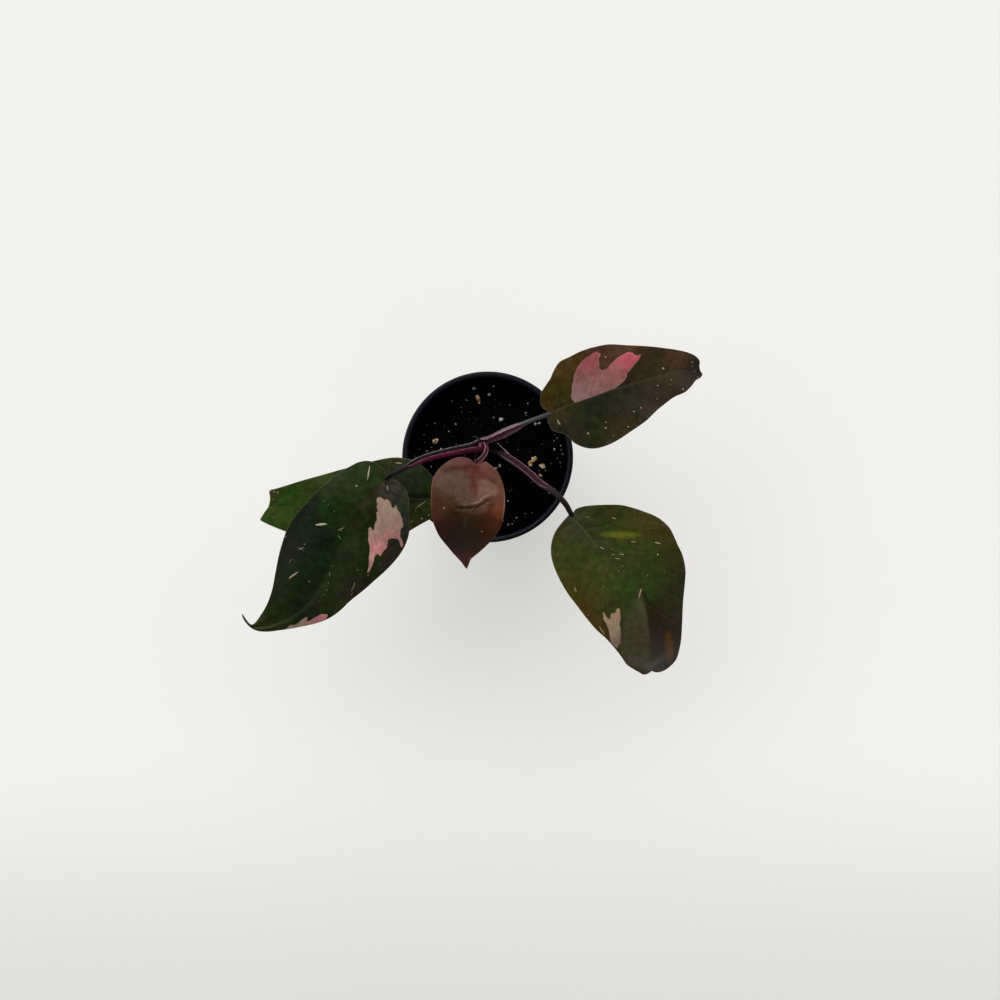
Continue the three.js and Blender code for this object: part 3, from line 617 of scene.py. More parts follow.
def scatter(count, low, high, seed, sink=0.1):
    """Lumps spread evenly over the bed, clear of the stem."""
    random = np.random.default_rng(seed)
    lumps = []
    for _ in range(count):
        r, a = (SOIL_RADIUS - WALL_CLEARANCE) * random.uniform(0, 1) ** 0.5, random.uniform(0, 2 * pi)
        x, y = r * cos(a), r * sin(a)
        size = low + (high - low) * random.uniform(0, 1) ** 2.5
        if np.hypot(x - STEM_X, y - STEM_Y) > STEM_CLEARANCE:
            lumps.append((lie(x, y, -sink * size), (size, size * random.uniform(0.6, 1), size * 0.7), 1.0))
    return lumps


peat = earth_finish("damp_peat", paint(4, 4, 6), paint(19, 18, 21), gloss=0.08)
bed = make_bed(peat)
crumbs = scatter(CRUMBS, low=0.45, high=1.7, seed=4711)
make_lumps("peat_crumbs", crumbs, divisions=1, roughness=0.25, finish=peat, seed=12)
grains = [(lie(x, y, 0.3 * size), (size * 1.25, size * 0.9, size * 0.8), 1.0) for x, y, size in PERLITE]
grains += scatter(DUST_GRAINS, low=0.12, high=0.55, seed=90125, sink=-0.7)
make_lumps("perlite_grains", grains, divisions=2, roughness=0.2, finish=perlite_finish(), seed=7)
chips = []
for x, y, length, width, turn in CHIPS:
    along = (cos(radians(turn)), sin(radians(turn)))
    for side in (-0.5, -0.15, 0.2, 0.5):    # a chip is split along its grain, so a few lumps make one
        place_x, place_y = x + side * length * along[0], y + side * length * along[1]
        half = width * (1 - 0.9 * abs(side) ** 1.5)
        chips.append((lie(place_x, place_y, 0.3), (half, half * 0.85, half * 0.6), 0.3))
make_lumps("bark_chips", chips, divisions=2, roughness=0.24, finish=bark_finish(), seed=31)
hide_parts("soil")

# %% [markdown]
# ## The roots
# Thick pale roots fill the mix below the stem and are never seen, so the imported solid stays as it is.
# It still gets a finish, because a cut-away view would show it.

# %% Root skin
def root_finish():
    material, tree, shader = new_finish("root_skin", roughness=0.75, gloss=0.3)
    rings = mottle(tree, (300, 300, 900), detail=4.0)
    feed(tree, shader.inputs["Base Color"], blend(tree, rings, paint(176, 148, 104), paint(216, 196, 156)))
    relief(tree, shader, rings, depth=0.2)
    return material


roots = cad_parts["roots"]
roots.data.materials.clear()
roots.data.materials.append(root_finish())
print("roots keep their packed solid,", len(roots.data.polygons), "faces")

# %% [markdown]
# ## The stem and the old bud sheath
# The stem is a short stack of nodes: a leaf leaves at each, and a ring is left where an old one fell.
# Beside the newest stalk stands the dry point of the sheath that wrapped it in the bud. Both could be
# plain tapers, but the rings and the curled edge are what make them look grown.

# %% Stem
STEM_BOTTOM, STEM_TOP = 62.3, 98.0


def stem_finish():
    material, tree, shader = new_finish("stem_skin", roughness=0.5, gloss=0.4)
    streaks = mottle(tree, (900, 900, 120), detail=4.0)
    rings = mottle(tree, (60, 60, 800), detail=2.0)
    green = blend(tree, streaks, paint(70, 60, 36), paint(112, 66, 66))
    skin = blend(tree, ramp(tree, rings, 0.5, 0.7), green, paint(60, 38, 30))
    # the young top is magenta, and its paler grey-pink streaks are partly a painted highlight on the knob
    magenta_and_highlight = blend(tree, streaks, paint(140, 78, 102), paint(186, 130, 150))
    young = ramp(tree, place_along(tree, "Z"), (STEM_TOP - 6.5) * MM, (STEM_TOP - 2.5) * MM)
    feed(tree, shader.inputs["Base Color"], blend(tree, young, skin, magenta_and_highlight))
    relief(tree, shader, streaks, depth=0.15)
    return material


STEM_OUTLINE = [
    (0, STEM_BOTTOM), (2.8, STEM_BOTTOM), (3.4, 63.8), (3.4, 80.8), (3.6, 81.2), (3.5, 81.8), (3.1, 82.6),
    (3.0, 84), (3.35, 86.4), (3.5, 87), (3.2, 87.6), (2.95, 89.2), (3.25, 91.4), (3.4, 92), (3.0, 92.6),
    (2.4, 94), (1.9, 95.2), (1.7, 96.2), (1.5, 97.4), (0.9, STEM_TOP), (0, STEM_TOP),
]
stem_points, stem_faces = lathe(soft_corners(STEM_OUTLINE, reach=0.35, steps=3), 48)
stem_points = stem_points + np.array([STEM_X, STEM_Y, 0])
stem = make_piece("leafy_stem", stem_points, stem_faces, [stem_finish()])
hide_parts("stem")
print("stem:", STEM_TOP - STEM_BOTTOM, "mm, bottom end in the mix")

# %% Frames carried along a line
def frames_back(line, count, side_at_end):
    """Centres, sides and upward ways at even shares, carried from the end back without twist."""
    centres = at_shares(line, np.linspace(0, 1, count))
    tangents = np.gradient(centres, axis=0)
    tangents /= np.linalg.norm(tangents, axis=1)[:, None]
    sides = np.zeros_like(centres)
    side = np.array(side_at_end, float)
    for k in range(count - 1, -1, -1):
        side = side - np.dot(side, tangents[k]) * tangents[k]
        side /= np.linalg.norm(side)
        sides[k] = side
    return centres, sides, np.cross(tangents, sides)


def loft(rings):
    """A closed skin through rings of equal count, with both ends filled."""
    count, sides = rings.shape[:2]
    points = rings.reshape(-1, 3)
    ends = np.array([rings[0].mean(0), rings[-1].mean(0)])
    first, last = len(points), len(points) + 1
    faces = rings_to_faces(count, sides)
    for i in range(sides):
        j, top = (i + 1) % sides, (count - 1) * sides
        faces += [(first, j, i), (last, top + i, top + j)]
    points = np.concatenate([points, ends])
    return points, outward(points, faces)


def strand(line, side_at_end, sections):
    """A closed skin along a line. Each section says how far its points lie across it and rise over it."""
    frames = zip(*frames_back(line, len(sections), side_at_end), sections)
    return loft(np.array([centre + across[:, None] * side + rise[:, None] * up
                          for centre, side, up, (across, rise) in frames]))


# %% The dry point of the bud sheath
def sheath_finish():
    material, tree, shader = new_finish("dry_bud_sheath", roughness=0.65, gloss=0.3)
    fibres = mottle(tree, (2200, 2200, 160))
    feed(tree, shader.inputs["Base Color"], blend(tree, fibres, paint(74, 62, 68), paint(122, 112, 114)))
    relief(tree, shader, fibres, depth=0.12)
    return material


SPIKE_LINE = [(STEM_X - 1.7, STEM_Y + 2.1, STEM_TOP - 3), (STEM_X - 2.1, STEM_Y + 2.9, STEM_TOP + 4),
              (STEM_X - 4.9, STEM_Y + 4.5, STEM_TOP + 15)]
SPIKE_RINGS, SPIKE_SIDES, SPIKE_HALF, SPIKE_THICKNESS, SPIKE_CURL = 28, 20, 0.95, 0.3, 0.45
SPIKE_SIDE = (0.75, 0.66, 0)
spike_sections = []
for ring in range(SPIKE_RINGS):
    taper = 1 - 0.86 * (ring / (SPIKE_RINGS - 1)) ** 1.3
    angles = np.linspace(0, 2 * pi, SPIKE_SIDES, endpoint=False)
    across, rise = SPIKE_HALF * taper * np.cos(angles), SPIKE_THICKNESS * (0.4 + 0.6 * taper) * np.sin(angles)
    rise = rise + SPIKE_CURL * across ** 2 / SPIKE_HALF      # the edges curl up, as a dried sheath does
    spike_sections.append((across, rise))
spike_points, spike_faces = strand(stalk_line(SPIKE_LINE), SPIKE_SIDE, spike_sections)
spike = make_piece("bud_sheath_point", spike_points, spike_faces, [sheath_finish()])
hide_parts("sheath_spike")

# %% [markdown]
# ## The shape of a leaf blade
# A philodendron blade is a thin heart-based sheet, bent along its midrib, cupped a little and rippled
# at its margin. A flat cut-out bent by a lattice would lose the veins. Here each blade is drawn flat
# in millimetres, y from the stalk to the tip and x across it, as ribs that run from the midrib to the
# margin. The ribs are the real vein pattern, so relief and colour can both follow them. `bend` is the
# slope in degrees at each distance from the base, `cup` the rise of the halves from the midrib,
# `droop` how far they fall again at 40 mm from it, and `wave` the ripple's height and count. `valley`
# rounds the fold at the midrib, `vein_relief` and `groove` scale the relief of the side veins and of the
# midrib, and `midrib_seen` is the share of the length along which the midrib stands out in colour.

# %% Blade outlines
BLADES = {}

# %% The right leaf
BLADES["blade_right"] = {
    "base": (35.6, 24.2, 134), "heading": 14.5, "cup": 10, "droop": 5, "wave": (1.2, 3.2),
    "valley": 5, "vein_relief": 0.35, "groove": 0.5, "midrib_seen": 0.95,
    "bend": [(0, 10), (20, 5), (41, -4), (61, -14), (82, -22), (102, -26)],
    "midrib": [
        (-0.2, 4), (-1.6, 17), (-2.3, 28), (-3.4, 39), (-4, 51), (-4.7, 71), (-4.9, 88), (-0.2, 101),
    ],
    "left": [
        (-1.9, 0), (-3, -1.6), (-6, -2.3), (-9.5, -1.6), (-12.6, 0), (-16.3, 4), (-19.1, 7.1),
        (-23.5, 10.6), (-27.1, 15), (-28.2, 21), (-29.6, 28), (-30.1, 37), (-29.5, 46.2),
        (-26.2, 57.3), (-21.2, 74.3), (-17.1, 88.6), (-13, 97.2), (-8.7, 100.8), (-5.2, 99.9),
        (-2.6, 99.8), (-0.2, 101),
    ],
    "right": [
        (1.9, 0), (3.6, -0.6), (7.3, -0.4), (10.5, 0.4), (12.7, 2.9), (14, 5.6), (15.5, 7.6),
        (19.1, 9.7), (22.1, 12), (25.2, 15.9), (27.3, 20.9), (27.7, 27.1), (26.4, 35.1), (22.7, 45.8),
        (19.3, 54.6), (15.2, 62.4), (12, 70), (9.4, 77.1), (8.2, 84.2), (5.7, 89.6), (2.6, 94.7),
        (1.6, 98.7), (-0.2, 101),
    ],
}

# %% The front right leaf
BLADES["blade_front_right"] = {
    "base": (50.4, -35.3, 124), "heading": -60.5, "cup": 7, "droop": 5, "wave": (1.4, 2.7),
    "valley": 7, "vein_relief": 0.45, "groove": 0.5, "midrib_seen": 0.48,
    "bend": [(0, 6), (28, 0), (56, -10), (84, -30), (112, -45), (140, -50)],
    "midrib": [
        (-0.3, 4), (-2, 13), (-4.5, 27), (-9.2, 45.5), (-13.2, 61.5), (-8.7, 80.5), (-3.5, 100),
        (2.6, 126.6),
    ],
    "left": [
        (-1.9, 0.1), (-3.5, -0.8), (-6.6, -0.5), (-12.2, 1.5), (-22.8, 6.9), (-29, 10.7),
        (-34.3, 15.7), (-39.1, 21), (-43.1, 26), (-45.7, 31), (-47.3, 37), (-47, 43), (-46.4, 49),
        (-46, 55), (-43.4, 64.2), (-39.2, 72.6), (-33.2, 84.4), (-25.6, 101.6), (-19.6, 116.8),
        (-14.6, 128), (-9, 132.8), (-4.2, 133.8), (0, 131.6), (2.6, 126.6),
    ],
    "right": [
        (1.9, 0.2), (4.3, 1), (8.8, 2.6), (13.9, 5.1), (18.1, 8.7), (21.3, 13.1), (23.5, 18.1),
        (24.9, 24.8), (25.5, 33), (25.3, 41.1), (24.2, 49.2), (22.9, 59.3), (21.1, 69.4), (18.4, 78),
        (16.5, 88.2), (15.5, 97.1), (14.9, 105.7), (12.6, 113.7), (10.1, 120.6), (8.2, 125.4),
        (5.4, 126.9), (2.6, 126.6),
    ],
}

# %% The newest leaf
BLADES["blade_new"] = {
    "base": (-5.7, -6.3, 152), "heading": -95.5, "cup": 8, "droop": 5, "wave": (0.5, 2.4),
    "valley": 4, "vein_relief": 0.1, "groove": 0.6, "midrib_seen": 0.3,
    "bend": [(0, 8), (16, 9), (25, 2), (31, -18), (46, -40), (78, -46)],
    "midrib": [
        (0.2, 4), (0.6, 9), (1, 16.5), (1.4, 25), (1.6, 36), (0.9, 50), (0.2, 71),
    ],
    "left": [
        (-1.9, 0), (-3.4, -0.9), (-5.4, -1.6), (-8, 0), (-11.5, 2.7), (-14.1, 6), (-16.4, 11),
        (-18.1, 17.4), (-18.6, 23.6), (-18.3, 29.4), (-17.2, 35.1), (-15.1, 40.3), (-11.7, 46.9),
        (-7.2, 53.9), (-3.7, 58.8), (-1.7, 62.2), (-0.8, 66.3), (0.2, 71),
    ],
    "right": [
        (1.9, 0), (3, -1.6), (5, -2.5), (8.6, -2.9), (12.5, -1.9), (16.3, 0.5), (19.5, 3.5),
        (22.5, 7.8), (24, 12.4), (24.1, 18), (23.4, 26), (22.5, 32.1), (21.1, 37.1), (17.6, 44.8),
        (13, 51.5), (8.2, 58.9), (3.6, 65.6), (1.4, 69.6), (0.2, 71),
    ],
}

# %% The front left leaf
BLADES["blade_front_left"] = {
    "base": (-58.7, -13.8, 131), "heading": -134, "cup": 6, "droop": 6, "wave": (1.2, 2.3),
    "valley": 13, "vein_relief": 0.25, "groove": 0.12, "midrib_seen": 0.2,
    "bend": [(0, 8), (25, 2), (51, -8), (76, -16), (102, -16), (127, -10)],
    "midrib": [
        (0, 4), (-0.6, 13), (-2.1, 28), (-6, 44), (-11, 60), (-15.6, 77.5), (-16.5, 97),
        (-10.3, 116), (-3.6, 125.2), (-0.6, 126.8), (2.6, 126.7), (7.6, 124.9),
    ],
    "left": [
        (-1.9, 0), (-3.9, -1.8), (-8, -2.4), (-13, -2), (-18.4, 1), (-24.9, 7.1), (-30.9, 13.6),
        (-34.1, 18.9), (-36.3, 25.4), (-37.3, 33), (-37.4, 41.1), (-36.8, 49.2), (-36, 59.2),
        (-34.7, 69.1), (-34.3, 78.2), (-32.9, 86.4), (-30, 94), (-25.6, 101.6), (-20.1, 109.8),
        (-15.9, 115.4), (-11.9, 120.6), (-8, 124.5), (-5.2, 126.3), (-3, 127.1), (-0.6, 127.4),
        (1.8, 127.3), (4.5, 126.8), (6.4, 126), (7.6, 124.9),
    ],
    "right": [
        (1.9, 0), (4.2, -1.5), (8.2, -1.8), (12.2, -0.8), (16.2, 1.9), (18.9, 5.8), (20.6, 10.5),
        (22.5, 17.4), (23.6, 25), (24.1, 33), (24.2, 42), (24, 50), (23.5, 57.6), (21.9, 65.3),
        (19.2, 72.6), (15.6, 80.4), (10.4, 89.2), (4.9, 98.1), (1.6, 105.4), (-0.2, 111.4),
        (-1.2, 117), (-1.7, 121.6), (-1.6, 124.2), (-0.8, 125.9), (0.8, 126.3), (3.4, 126),
        (5.6, 125.5), (7.6, 124.9),
    ],
}

# %% The left leaf
BLADES["blade_left"] = {
    "base": (-26.2, -26.6, 104), "heading": 182.6, "cup": 6, "droop": 4, "wave": (1, 2.2),
    "valley": 7, "vein_relief": 0.3, "groove": 0.4, "midrib_seen": 0.9,
    "bend": [(0, 6), (23, 2), (46, -4), (69, -8), (92, -10), (115, -12)],
    "midrib": [
        (0, 4), (1.3, 28), (0.8, 59), (0.4, 91), (0.1, 112.3),
    ],
    "left": [
        (-1.9, 0), (-3.4, -2.3), (-5.8, -1.8), (-8, 1), (-10, 5), (-12, 9.5), (-14.2, 14.3),
        (-16.7, 19.2), (-19.1, 23.9), (-22.6, 34.9), (-24.2, 45), (-24.8, 54), (-24.3, 64),
        (-22.8, 73), (-18.7, 91.6), (-16.2, 100.2), (-14.2, 105.2), (-12, 110.3), (-10.2, 114),
        (-8.6, 117.1), (-7.6, 117.9), (-6.2, 117.2), (-3.6, 115.3), (-1.4, 113.5), (0.1, 112.3),
    ],
    "right": [
        (1.9, 0), (3.6, -2.5), (6.1, -1.9), (9, 0.9), (13.3, 6.3), (17.7, 9.8), (21.6, 13.9),
        (24.4, 18), (26.1, 23), (26.9, 28), (26.9, 33), (26.1, 39), (24.4, 48), (22.4, 57.5),
        (20.9, 65.1), (18.2, 77.2), (15.3, 90.1), (12.8, 100), (11.4, 106.2), (10.8, 109.6),
        (10.3, 110.9), (9, 111.1), (6, 110.8), (3, 111.3), (0.1, 112.3),
    ],
}

for name, blade in BLADES.items():
    print(f"{name}: {blade['left'][-1][1]:.0f} mm from stalk to tip, drawn flat")

# %% Bend a flat place into space
BEND_STEP = 0.25       # mm between the places where the slope is added up
BEND_FROM, BEND_TO = -20, 160


def bent(blade, y):
    """Centres, right-hand way and upward normals for heights y above the stalk's end."""
    ys = np.arange(BEND_FROM, BEND_TO, BEND_STEP)
    stops = np.array(blade["bend"], float)
    slope = np.radians(np.interp(ys + BEND_STEP / 2, stops[:, 0], stops[:, 1]))
    along = np.concatenate([[0], np.cumsum(np.cos(slope[:-1]) * BEND_STEP)])
    height = np.concatenate([[0], np.cumsum(np.sin(slope[:-1]) * BEND_STEP)])
    start = int(np.searchsorted(ys, 0))
    along, height = along - along[start], height - height[start]
    heading = radians(blade["heading"])
    forward, right = np.array([cos(heading), sin(heading), 0]), np.array([sin(heading), -cos(heading), 0])
    lean = np.radians(np.interp(y, stops[:, 0], stops[:, 1]))[..., None]
    tangent = np.cos(lean) * forward + np.sin(lean) * np.array([0, 0, 1.0])
    centre = np.interp(y, ys, along)[..., None] * forward + np.array(blade["base"], float)
    centre[..., 2] += np.interp(y, ys, height)
    return centre, tangent, right, np.cross(np.broadcast_to(right, tangent.shape), tangent)


# %% The ribs of a blade
ROWS, COLUMNS = 190, 66        # along the blade, and from midrib to margin on each side
LATERALS = 9                   # main side veins on each side
BLADE_THICKNESS, MARGIN_THICKNESS, MARGIN_REACH = 0.62, 0.3, 2.5
MIDRIB_DEPTH, MIDRIB_HALF_WIDTH, GROOVE_DEPTH = 1.1, 0.95, 0.3
VEIN_HALF_WIDTH, VEIN_SINK, VEIN_KEEL, CELL_SWELL = 0.8, 0.12, 0.22, 0.16
DROOP_REACH = 40       # mm from the midrib at which a blade's droop is given


def crowded(count, amount):
    """Shares from 0 to 1 that lie closer together at both ends."""
    even = np.arange(count + 1) / count
    return even - amount * np.sin(2 * pi * even) / (2 * pi)


def rib_root(share):
    """Where on the midrib a rib starts: far below its end on the margin, except near the tip."""
    return 0.12 * share + 0.88 * share ** (1 + 1.4 * (1 - smoothstep(share, 0.6, 1)))


def sheet_lift(blade, flat, sideways, size, rows, is_left):
    """How far each place rises over the bent sheet: cup, droop, ripple and a leaf's own fold."""
    wave_height, wave_count = blade["wave"]
    turn = 2 * pi * wave_count * rows + np.where(is_left, 0.6, 2.4)
    ripple = wave_height * size ** 2 * np.sin(pi * rows) * np.sin(turn)
    rounded = np.sqrt(sideways ** 2 + blade["valley"] ** 2) - blade["valley"]
    lift = rounded * tan(radians(blade["cup"])) - blade["droop"] * (sideways / DROOP_REACH) ** 2 + ripple
    return lift + blade["crease"](flat, size) if "crease" in blade else lift


def blade_sheet(blade):
    """The middle sheet of a blade as a grid of rows and signed steps, with what each point carries."""
    shares = crowded(ROWS, 0.65)
    half = crowded(COLUMNS, 0.6)
    steps = np.concatenate([-half[:0:-1], half])
    midrib = smooth_line(blade["midrib"])
    length = np.linalg.norm(np.diff(midrib, axis=0), axis=1).sum()
    roots = at_shares(midrib, rib_root(shares))[:, None]
    ends = {side: at_shares(smooth_line(blade[side]), shares)[:, None] for side in ("left", "right")}
    is_left = (steps < 0)[None, :]
    size = np.abs(steps)[None, :]
    sweep = np.stack([size, size ** 1.2], -1)      # a rib curves toward the tip
    flat = roots + (np.where(is_left[..., None], ends["left"], ends["right"]) - roots) * sweep
    rows = shares[:, None]
    places, shape = flat.reshape(-1, 2), flat.shape[:2]
    across = line_distance(places, midrib).reshape(shape)
    edge = np.concatenate([flat[:, 0], flat[::-1, -1], [(0, -8)]])      # the stalk hides the notch
    margin = np.maximum(inside_distance(places, edge), 0).reshape(shape)
    lift = sheet_lift(blade, flat, np.abs(flat[..., 0] - roots[..., 0]), size, rows, is_left)
    phase = rows * LATERALS + np.where(is_left, 0.5, 0.15)
    vein = np.abs(phase - np.round(phase)) * length / LATERALS
    centre, _, right, normal = bent(blade, flat[..., 1])
    sheet = centre + flat[..., :1] * right + lift[..., None] * normal
    signed = np.sign(steps)[None, :] * np.linalg.norm(flat - roots, axis=2)
    rows, size = rows + 0 * across, size + 0 * across      # both filled out to the whole grid
    return {"flat": flat, "sheet": sheet, "normal": normal, "across": across, "margin": margin,
            "vein": vein, "along": rows * length, "signed": signed, "share": rows, "size": size}


# %% From sheet to closed blade
def blade_skins(grid, vein_relief, groove):
    """Top and underside of the blade: a groove over the midrib and a keel under it, side veins that
    sink above and stand out below, and a margin that thins."""
    share, size, normal = grid["share"], grid["size"], grid["normal"]
    fade = (1 - 0.75 * share) * smoothstep(share, 0.0, 0.06)
    in_groove = np.exp(-(grid["across"] / (0.75 * MIDRIB_HALF_WIDTH)) ** 2)
    in_keel = np.exp(-(grid["across"] / (1.5 * MIDRIB_HALF_WIDTH)) ** 2)
    vein_fade = smoothstep(size, 0.02, 0.12) * (1 - smoothstep(size, 0.72, 0.97))
    vein_fade = vein_fade * (1 - smoothstep(share, 0.8, 1)) * vein_relief
    in_vein = np.exp(-(grid["vein"] / VEIN_HALF_WIDTH) ** 2) * vein_fade
    swell = CELL_SWELL * (1 - np.exp(-(grid["vein"] / 3.0) ** 2)) * vein_fade
    inward = smoothstep(grid["margin"], 0, MARGIN_REACH)
    thickness = MARGIN_THICKNESS + (BLADE_THICKNESS - MARGIN_THICKNESS) * inward
    rise = swell - GROOVE_DEPTH * groove * in_groove * fade - VEIN_SINK * in_vein
    drop = thickness + MIDRIB_DEPTH * in_keel * fade + VEIN_KEEL * in_vein - swell
    return grid["sheet"] + rise[..., None] * normal, grid["sheet"] - drop[..., None] * normal


def blade_faces(rows, columns):
    """Faces of the top sheet, the order of points round its edge, and the place of the middle column."""
    middle = columns // 2
    faces = []
    for row in range(rows - 2):
        for column in range(columns - 1):
            near = row * columns + column
            faces.append((near, near + 1, near + columns + 1, near + columns))
    last, tip = (rows - 2) * columns, (rows - 1) * columns
    faces += [(last + c, last + c + 1, tip) for c in range(columns - 1)]
    for step in range(1, middle + 1):    # the base between the stalk's notch and the first ribs
        left, right = middle - step, middle + step
        faces.append((left, right, middle) if step == 1 else (left, right, right - 1, left + 1))
    edge = [0] + [row * columns + columns - 1 for row in range(rows - 1)] + [tip]
    edge += [row * columns for row in range(rows - 2, 0, -1)]
    return faces, edge


def make_blade(name, blade, finishes):
    """A closed blade: top finish, underside finish, and small raised pale specks."""
    grid = blade_sheet(blade)
    rows, columns = grid["share"].shape
    keep = (rows - 1) * columns + 1      # all ribs end in one point at the tip
    skins = blade_skins(grid, blade["vein_relief"], blade["groove"])
    top, under = (skin.reshape(-1, 3)[:keep] for skin in skins)
    flat = grid["flat"].reshape(-1, 2)[:keep]
    faces, edge = blade_faces(rows, columns)
    whole = list(faces) + [tuple(keep + i for i in reversed(face)) for face in faces]
    look = [0] * len(faces) + [1] * len(faces)
    for here, beside in zip(edge, edge[1:] + edge[:1]):
        whole.append((here, keep + here, keep + beside, beside))
        look.append(1)
    seen = blade["midrib_seen"]
    lost = 3 * smoothstep(grid["share"], seen - 0.12, seen + 0.12)      # mm that hide the midrib's colour
    grid["middle"] = grid["across"] + lost
    kept = {label: grid[label].ravel()[:keep] for label in ("along", "signed", "margin", "vein", "middle")}
    zero = np.zeros(keep)
    values = marks_on(blade, flat) | {"rib": np.stack([kept.pop("along"), kept.pop("signed"), zero], -1)}
    values |= kept | {"fresh": zero}
    values = {label: np.concatenate([value, value]) for label, value in values.items()}
    points = np.concatenate([top, under])
    points, whole, look, values = lay_marks(points, whole, look, values, blade, flat, top)
    piece = make_piece(name, points, whole, finishes, look, values)
    print(f"{name}: {len(whole)} faces, {np.ptp(flat[:, 1]):.0f} mm long, {np.ptp(flat[:, 0]):.0f} mm wide")
    return piece


# %% [markdown]
# ## Variegation
# The pink and cream sectors of this plant are patches of leaf that grew without green. Their outlines
# are ragged along the veins and differ on every leaf, so they can't be one noise pattern. Each patch is
# drawn as an outline on the flat blade, and every point carries its distance to that outline. The
# finish cuts at zero and lets fine streaks eat at the edge. Broad tints, the greens and bronzes that
# change across a leaf, are ten to twenty soft washes that run into each other. Some drawn tints and
# washes are painted light instead: painted sheen, highlights and shade on glossy parts, folds and
# creases. Small bare specks are tiny raised drops, and one of them is a painted glare.

# %% Drawn marks and washes
def oval(x, y, long_half, short_half, turn, count=24):
    """A drawn oval, turned by degrees from the x axis."""
    angles = np.linspace(0, 2 * pi, count, endpoint=False)
    u, v, t = long_half * np.cos(angles), short_half * np.sin(angles), radians(turn)
    return list(zip(x + u * cos(t) - v * sin(t), y + u * sin(t) + v * cos(t)))


def washed(places, washes):
    """Soft washes of colour that run into each other: (x, y, reach, colour)."""
    weights = []
    for x, y, reach, _ in washes:
        weights.append(np.exp(-((places - (x, y)) ** 2).sum(1) / reach ** 2) + 1e-9)
    weights = np.stack(weights)
    colours = np.array([paint(*colour) for *_, colour in washes])
    return (weights.T @ colours) / weights.sum(0)[:, None]


def marks_on(blade, flat):
    """What the finish reads at every point: tint, blush, and the distance into the bare patches."""
    tint = washed(flat, blade["washes"])
    for outline, softness, strength, colour in blade.get("tints", []):
        share = strength * smoothstep(inside_distance(flat, outline), -softness, softness)
        tint = tint + (np.array(paint(*colour)) - tint) * share[:, None]
    patch = np.full(len(flat), -50.0)
    for outline in blade.get("patches", []):
        patch = np.maximum(patch, inside_distance(flat, outline))
    return {"tint": tint, "blush": washed(flat, blade["blush"]), "patch": patch}


# %% Bare flecks and specks
MARK_SIDES = 14
MARK_RINGS = ((1.0, -0.14), (1.0, 0.01), (0.65, 0.05))    # share of the mark's size, height over the skin
MARK_PEAK = 0.06


def skin_lift(flat, lift, place):
    """Height of the skin at a flat place, from a small plane laid through the nearest points."""
    near = np.argpartition(((flat - place) ** 2).sum(1), 12)[:12]
    slopes = np.column_stack([flat[near] - place, np.ones(12)])
    return np.linalg.solve(slopes.T @ slopes + np.diag([1e-3, 1e-3, 0]), slopes.T @ lift[near])[2]


def lay_marks(points, faces, look, values, blade, flat, top):
    """Sets a low ragged dome on the top skin for each speck and each fleck."""
    centre, _, right, normal = bent(blade, flat[:, 1])
    lift = ((top - centre - flat[:, :1] * right) * normal).sum(1)
    marks = [(x, y, radius, 0.85 * radius, 40) for x, y, radius in blade["specks"]] + blade["flecks"]
    sides = np.arange(MARK_SIDES)
    extra_points, extra_faces, homes, freshness = [], [], [], []
    for number, (x, y, long_half, short_half, turn) in enumerate(marks):
        random = np.random.default_rng(number)
        ragged = 1 + 0.18 * random.uniform(-1, 1, MARK_SIDES)
        outline = np.array(oval(0, 0, long_half, short_half, turn, MARK_SIDES)) * ragged[:, None]
        places = np.concatenate([outline * share + (x, y) for share, _ in MARK_RINGS] + [[(x, y), (x, y)]])
        rises = np.repeat([rise for _, rise in MARK_RINGS], MARK_SIDES).tolist()
        rises += [MARK_PEAK, MARK_RINGS[0][1]]
        centre, _, right, normal = bent(blade, places[:, 1])
        height = np.array([skin_lift(flat, lift, place) for place in places]) + rises
        first = len(points) + sum(len(dome) for dome in extra_points)
        extra_points.append(centre + places[:, :1] * right + height[:, None] * normal)
        homes += [int(np.argmin(((flat - (x, y)) ** 2).sum(1)))] * len(places)
        freshness += [random.uniform(0.5, 1)] * len(places)
        peak, highest = len(MARK_RINGS) * MARK_SIDES, (len(MARK_RINGS) - 1) * MARK_SIDES
        dome = rings_to_faces(len(MARK_RINGS), MARK_SIDES)
        dome += [(peak, highest + i, highest + (i + 1) % MARK_SIDES) for i in sides]
        dome += [(peak + 1, (i + 1) % MARK_SIDES, i) for i in sides]
        extra_faces += [tuple(int(first + i) for i in face) for face in dome]
    everything = np.concatenate([points, *extra_points])
    values = {label: np.concatenate([v, v[homes]]) for label, v in values.items()}
    values["fresh"][-len(freshness):] = freshness
    return everything, faces + outward(everything, extra_faces), look + [2] * len(extra_faces), values


# %% Folds that single leaves have
def front_right_fold(flat, size):
    """The lower half buckles: a ridge along the midrib and a flat facet that falls to a valley."""
    x, y = flat[..., 0], flat[..., 1]
    ridge = np.interp(y, [61, 80, 100, 125], [-14, -8.8, -3.6, 2])
    valley = np.interp(y, [61, 70, 90, 101, 125], [-14, 1.1, 13.3, 15, 8])
    height = 2.2 * smoothstep(y, 60, 86) * (1 - smoothstep(y, 112, 127))
    facet = np.clip((x - ridge) / np.maximum(valley - ridge, 1), 0, 1)
    right_side = height * (1 - 1.7 * facet) * np.where(x > valley, np.exp(-np.maximum(x - valley, 0) / 5), 1)
    left_side = height * np.exp(-np.maximum(ridge - x, 0) / 9)
    return np.where(x > ridge, right_side, left_side) * (1 - size ** 4)


